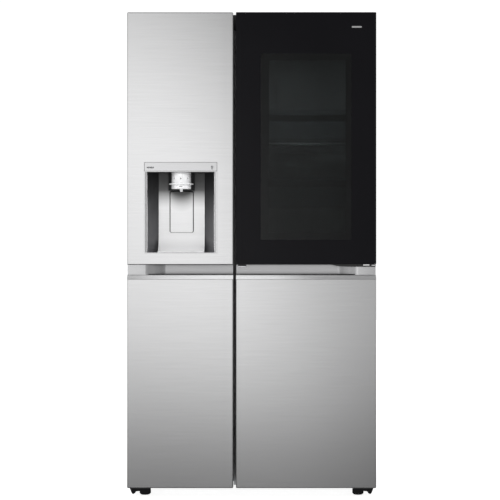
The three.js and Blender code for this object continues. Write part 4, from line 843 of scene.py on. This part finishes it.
def lamps():
    """Lamp lenses under both ceilings, and their light."""
    for cavity, watts in (("freezer", 0.3), ("fridge", 0.25)):
        x, y, z = spans(f"{cavity}_liner")
        ceiling = z[1] - 2 * MM
        across, along = around(middle(x), 95 * MM), (y[0] + 130 * MM, y[0] + 200 * MM)
        lens = Form().slab("z", across, along, (ceiling - 4 * MM, ceiling - 0.3 * MM), 12 * MM)
        piece(f"{cavity}_lamp_lens", lens, "cabinet", LOOK["lamp"], bevel=1.2 * MM,
              segments=3)
        light = bpy.data.lights.new(f"{cavity}_lamp", "AREA")
        light.shape = "RECTANGLE"
        light.size, light.size_y = 0.18, 0.06
        light.energy = watts
        lamp = bpy.data.objects.new(f"{cavity}_lamp", light)
        lamp.location = (middle(across), middle(along), ceiling - 6 * MM)
        bpy.context.scene.collection.objects.link(lamp)


# ---------------------------------------------------------------- back and machine space
def screw_heads(name, centres, depth, radius):
    """Domed screw heads in the rear sheet, standing out from depth[0] to depth[1]."""
    dome = [(0, 0), (1, 0), (1, 0.4), (0.8, 0.85), (0.45, 1), (0, 1)]  # shares of the radius and of the depth
    form = Form()
    for u, v in centres:
        form.lathe("y", (u, v), [(radius * wide, share(depth, out)) for wide, out in dome], 20)
    piece(name, form, "cabinet", LOOK["chrome"])


def back():
    """Pressed rear sheet with two raised beads, and its screws."""
    x, y, z = spans("back_panel")
    base = y[0] + 0.4 * MM
    panel = Form().block(x, (y[0], base), z)
    margin, wide = 60 * MM, 12 * MM
    bead_x = inset(x, margin)
    for bead_z in ((z[0] + margin, share(z, 0.47)), (share(z, 0.53), z[1] - margin)):
        inner = rounded(inset(bead_x, wide), inset(bead_z, wide), 30 * MM)
        panel.pierced("y", rounded(bead_x, bead_z, 40 * MM), [inner], (base - 0.1 * MM, y[1] - 0.1 * MM))
    piece("rear_sheet", panel, "cabinet", LOOK["zinc"], ["back_panel"], 0.3 * MM)
    rows = [z[0] + 15 * MM, share(z, 0.25), share(z, 0.5), share(z, 0.75), z[1] - 15 * MM]
    centres = [(side, level) for side in (x[0] + 14 * MM, middle(x), x[1] - 14 * MM) for level in rows]
    screw_heads("rear_sheet_screws", centres, (base, y[1]), 4.5 * MM)


def discharge_pipe():
    """Copper tube from the compressor to the condenser."""
    cx, cy, cz = spans("compressor")
    nx, ny, nz = spans("condenser")
    start = (cx[1] - 30 * MM, middle(cy) - 30 * MM, cz[1] - 40 * MM)
    path = [start, (start[0] + 60 * MM, start[1], start[2] + 14 * MM), (-40 * MM, ny[0], cz[0] + 20 * MM),
            (90 * MM, ny[0] + 6 * MM, cz[0] + 8 * MM), (nx[0] - 8 * MM, ny[0] + 14 * MM, nz[0] + 12 * MM)]
    curve = bpy.data.curves.new("discharge_pipe", "CURVE")
    curve.dimensions = "3D"
    curve.bevel_depth = 3 * MM
    curve.bevel_resolution = 5
    curve.use_fill_caps = True
    line = curve.splines.new("NURBS")
    line.points.add(len(path) - 1)
    for point, at in zip(line.points, path):
        point.co = (*at, 1)
    line.use_endpoint_u = True
    line.order_u = 4
    line.resolution_u = 16
    curve.materials.append(LOOK["copper"])
    pipe = bpy.data.objects.new("discharge_pipe", curve)
    bpy.context.scene.collection.objects.link(pipe)
    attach(pipe, "cabinet")


def cabinet():
    dress(LOOK["paint"], ["outer_case"], 1.2 * MM, 3)
    dress(LOOK["white"], ["freezer_liner", "fridge_liner"], 1.2 * MM)
    dress(LOOK["white"], ["evaporator_cover", "fridge_air_duct", "ice_maker"], 1 * MM)
    dress(LOOK["foam"], ["insulation_foam"])
    dress(LOOK["zinc"], ["base_frame", "evaporator", "condenser"])
    dress(LOOK["grey"], ["machine_cover"], 0.4 * MM)
    dress(LOOK["enamel"], ["compressor"])
    dress(LOOK["black"], ["top_cover"], 1.5 * MM, 3)
    dress(LOOK["enamel"], ["top_hinge_left", "top_hinge_right"], 0.5 * MM)
    dress(LOOK["foot"], ["lower_hinge_left", "lower_hinge_right"], 0.5 * MM)
    dress(LOOK["foot"], ["levelling_foot_left", "levelling_foot_right"])
    dress(LOOK["foot"], ["rear_roller_left", "rear_roller_right"])
    dress(LOOK["black"], ["condenser_fan"])
    mullion_strip()
    foot_skirts()


def mullion_strip():
    """Grey strip on the cabinet's edge behind the gap between the doors."""
    gap = (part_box("freezer_panel_upper")[1].x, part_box("fridge_panel_lower")[0].x)
    y, z = spans("outer_case")[1:]
    strip_z = (z[0] - 14 * MM, z[1] - 2 * MM)
    strip = Form().slab("z", inset(gap, 0.8 * MM), (y[0] - 3 * MM, y[0]), strip_z, 1 * MM)
    piece("mullion_strip", strip, "cabinet", LOOK["grey"])


# Front view of a foot skirt, in mm inwards and upwards from its outer top corner. The tooth is at 12 to 16.
SKIRT = [(0, 0), (72, 0), (73, -3), (73, -14), (71, -17.5), (27, -19.5), (22, -21.5), (16, -29.5), (12, -30),
         (8, -26), (4, -17), (1, -8)]


def foot_skirts():
    """Black skirts in front of the levelling feet, each with a tooth at its outer side."""
    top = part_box("freezer_panel_lower")[0].z - 1.2 * MM
    for name, side in (("left", 1), ("right", -1)):
        x, y = spans(f"lower_hinge_{name}")[:2]
        outer = x[0] if side > 0 else x[1]
        outline = [(outer + side * u * MM, top + v * MM) for u, v in SKIRT]
        skirt = Form().prism("y", outline, (y[0] - 8 * MM, y[0] - 2 * MM))
        piece(f"foot_skirt_{name}", skirt, "cabinet", LOOK["foot"], bevel=0.8 * MM)


# ---------------------------------------------------------------- stage
def floor():
    """A plain pale floor. It is lit and seen, but the steel mirrors the studio instead of it."""
    reach, top, bottom = 12, -0.2 * MM, -20 * MM
    disc = Form().lathe("z", (0, 0), [(0, bottom), (reach, bottom), (reach, top), (0, top)], 96)
    mesh = bpy.data.meshes.new("floor")
    disc.bm.to_mesh(mesh)
    disc.bm.free()
    pale = Shader("pale_floor", (0.9, 0.9, 0.9), 0.9, Emission_Strength=0.9, Emission_Color=(1, 1, 1, 1))
    pale.tint(pale.noise(2), 0.995, 1.0)
    mesh.materials.append(pale.material)
    obj = bpy.data.objects.new("floor", mesh)
    obj.visible_glossy = False
    bpy.context.scene.collection.objects.link(obj)


# Brightness of the studio against height, dark low down and brightest a little over eye level, and from
# left to right. Position 0 is straight down or left, and 1 is straight up or right.
HEIGHT_STOPS = [(0.0, 0.12), (0.4, 0.14), (0.42, 0.21), (0.45, 0.65), (0.475, 0.9), (0.5, 0.97), (0.545, 1.0),
                (0.57, 0.86), (0.605, 0.56), (0.66, 0.5), (0.74, 0.75), (1.0, 0.7)]
SIDE_STOPS = [(0.0, 0.9), (0.12, 0.5), (0.28, 0.5), (0.36, 0.82), (0.44, 0.9), (0.48, 1.03), (0.5, 0.92),
              (0.525, 0.59), (0.55, 0.41), (0.65, 0.4), (0.8, 0.35), (0.92, 0.4), (1.0, 0.7)]
SIDE_LEAN = 0.35  # how far the side stops lean to the left with height
STUDIO_STRENGTH = 1.13
BACKDROP_STRENGTH = 1.05  # of the plain white that the camera sees


def studio():
    """A world that lights and mirrors as a studio, and shows the camera plain white."""
    world = bpy.data.worlds.new("studio")
    bpy.context.scene.world = world
    world.use_nodes = True
    tree = world.node_tree
    tree.nodes.clear()

    def node(kind, **inputs):
        made = tree.nodes.new("ShaderNode" + kind)
        for name, value in inputs.items():
            socket = made.inputs[name]
            if isinstance(value, bpy.types.NodeSocket):
                tree.links.new(value, socket)
            else:
                socket.default_value = value
        return made

    def graded(value, stops):
        place_in = node("MapRange", Value=value)
        place_in.inputs["From Min"].default_value = -1
        made = node("ValToRGB", Fac=place_in.outputs["Result"])
        made.color_ramp.interpolation = "EASE"
        elements = made.color_ramp.elements
        while len(elements) < len(stops):
            elements.new(0.5)
        for element, (at, bright) in zip(elements, stops):
            element.position = at
            element.color = (bright, bright, bright, 1)
        return made.outputs["Color"]

    way = node("SeparateXYZ", Vector=node("TexCoord").outputs["Generated"])
    light = node("Mix")
    light.data_type = "RGBA"
    light.blend_type = "MULTIPLY"
    light.inputs[0].default_value = 1
    tree.links.new(graded(way.outputs["Z"], HEIGHT_STOPS), light.inputs[6])
    lean = node("Math")
    lean.operation = "MULTIPLY_ADD"
    tree.links.new(way.outputs["Z"], lean.inputs[0])
    lean.inputs[1].default_value = SIDE_LEAN
    tree.links.new(way.outputs["X"], lean.inputs[2])
    tree.links.new(graded(lean.outputs["Value"], SIDE_STOPS), light.inputs[7])
    around_it = node("Background", Color=light.outputs[2], Strength=STUDIO_STRENGTH)
    plain = node("Background", Color=(1, 1, 1, 1), Strength=BACKDROP_STRENGTH)
    chosen = node("MixShader", Fac=node("LightPath").outputs["Is Camera Ray"])
    tree.links.new(around_it.outputs["Background"], chosen.inputs[1])
    tree.links.new(plain.outputs["Background"], chosen.inputs[2])
    out = node("OutputWorld")
    tree.links.new(chosen.outputs["Shader"], out.inputs["Surface"])


def softbox(name, at, aim, size, watts, only=()):
    """A rectangular light. It reaches everything, or only the named objects."""
    light = bpy.data.lights.new(name, "AREA")
    light.shape = "RECTANGLE"
    light.size, light.size_y = size
    light.energy = watts
    lamp = bpy.data.objects.new(name, light)
    lamp.location = at
    lamp.rotation_euler = (Vector(aim) - Vector(at)).to_track_quat("-Z", "Y").to_euler()
    bpy.context.scene.collection.objects.link(lamp)
    if only:
        lamp.light_linking.receiver_collection = bpy.data.collections.new(f"{name}_receivers")
        for obj in only:
            lamp.light_linking.receiver_collection.objects.link(obj)
    return lamp


CAMERA_BACK = 4.8  # in front of the doors
CAMERA_SIDE = -0.006
CAMERA_HEIGHT = 0.9088
CAMERA_LENS = 94.37


def camera():
    data = bpy.data.cameras.new("camera")
    data.lens = CAMERA_LENS
    data.sensor_width = 36
    data.clip_end = 100
    cam = bpy.data.objects.new("camera", data)
    cam.location = (CAMERA_SIDE, cad_low.y - CAMERA_BACK, CAMERA_HEIGHT)
    cam.rotation_euler = (math.radians(90), 0, 0)
    bpy.context.scene.collection.objects.link(cam)
    bpy.context.scene.camera = cam


def main():
    camera()
    studio()
    floor()
    lips = [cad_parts[node] for node in ("freezer_handle_trim", "fridge_handle_trim")]
    softbox("lip_light", (-0.17, -1.15, 3.0), (-0.15, -0.4, 0.8), (0.8, 0.6), 1.25, lips)
    softbox("fill_rear", (0.4, 3.0, 2.4), (0, 0.3, 0.9), (2.0, 1.6), 18)
    doors()
    outer_door()
    dispenser()
    nodes = ("dispenser_head", "button_cubed", "button_water", "button_crushed")
    pieces = ("splash_plate", "dispenser_lever", "head_ring", "water_nozzle")
    lit = [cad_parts[name] for name in nodes] + [bpy.data.objects[name] for name in pieces]
    glow = softbox("recess_light", (-0.26, -1.4, 1.8), (-0.26, -0.3, 1.0), (0.6, 0.4), 9.0, lit)
    glow.visible_glossy = False  # it would blow out on the curved foot of the splash plate
    trims()
    lamps()
    back()
    discharge_pipe()
    cabinet()
    view = bpy.context.scene.view_settings
    view.view_transform = "Standard"
    view.look = "None"


main()
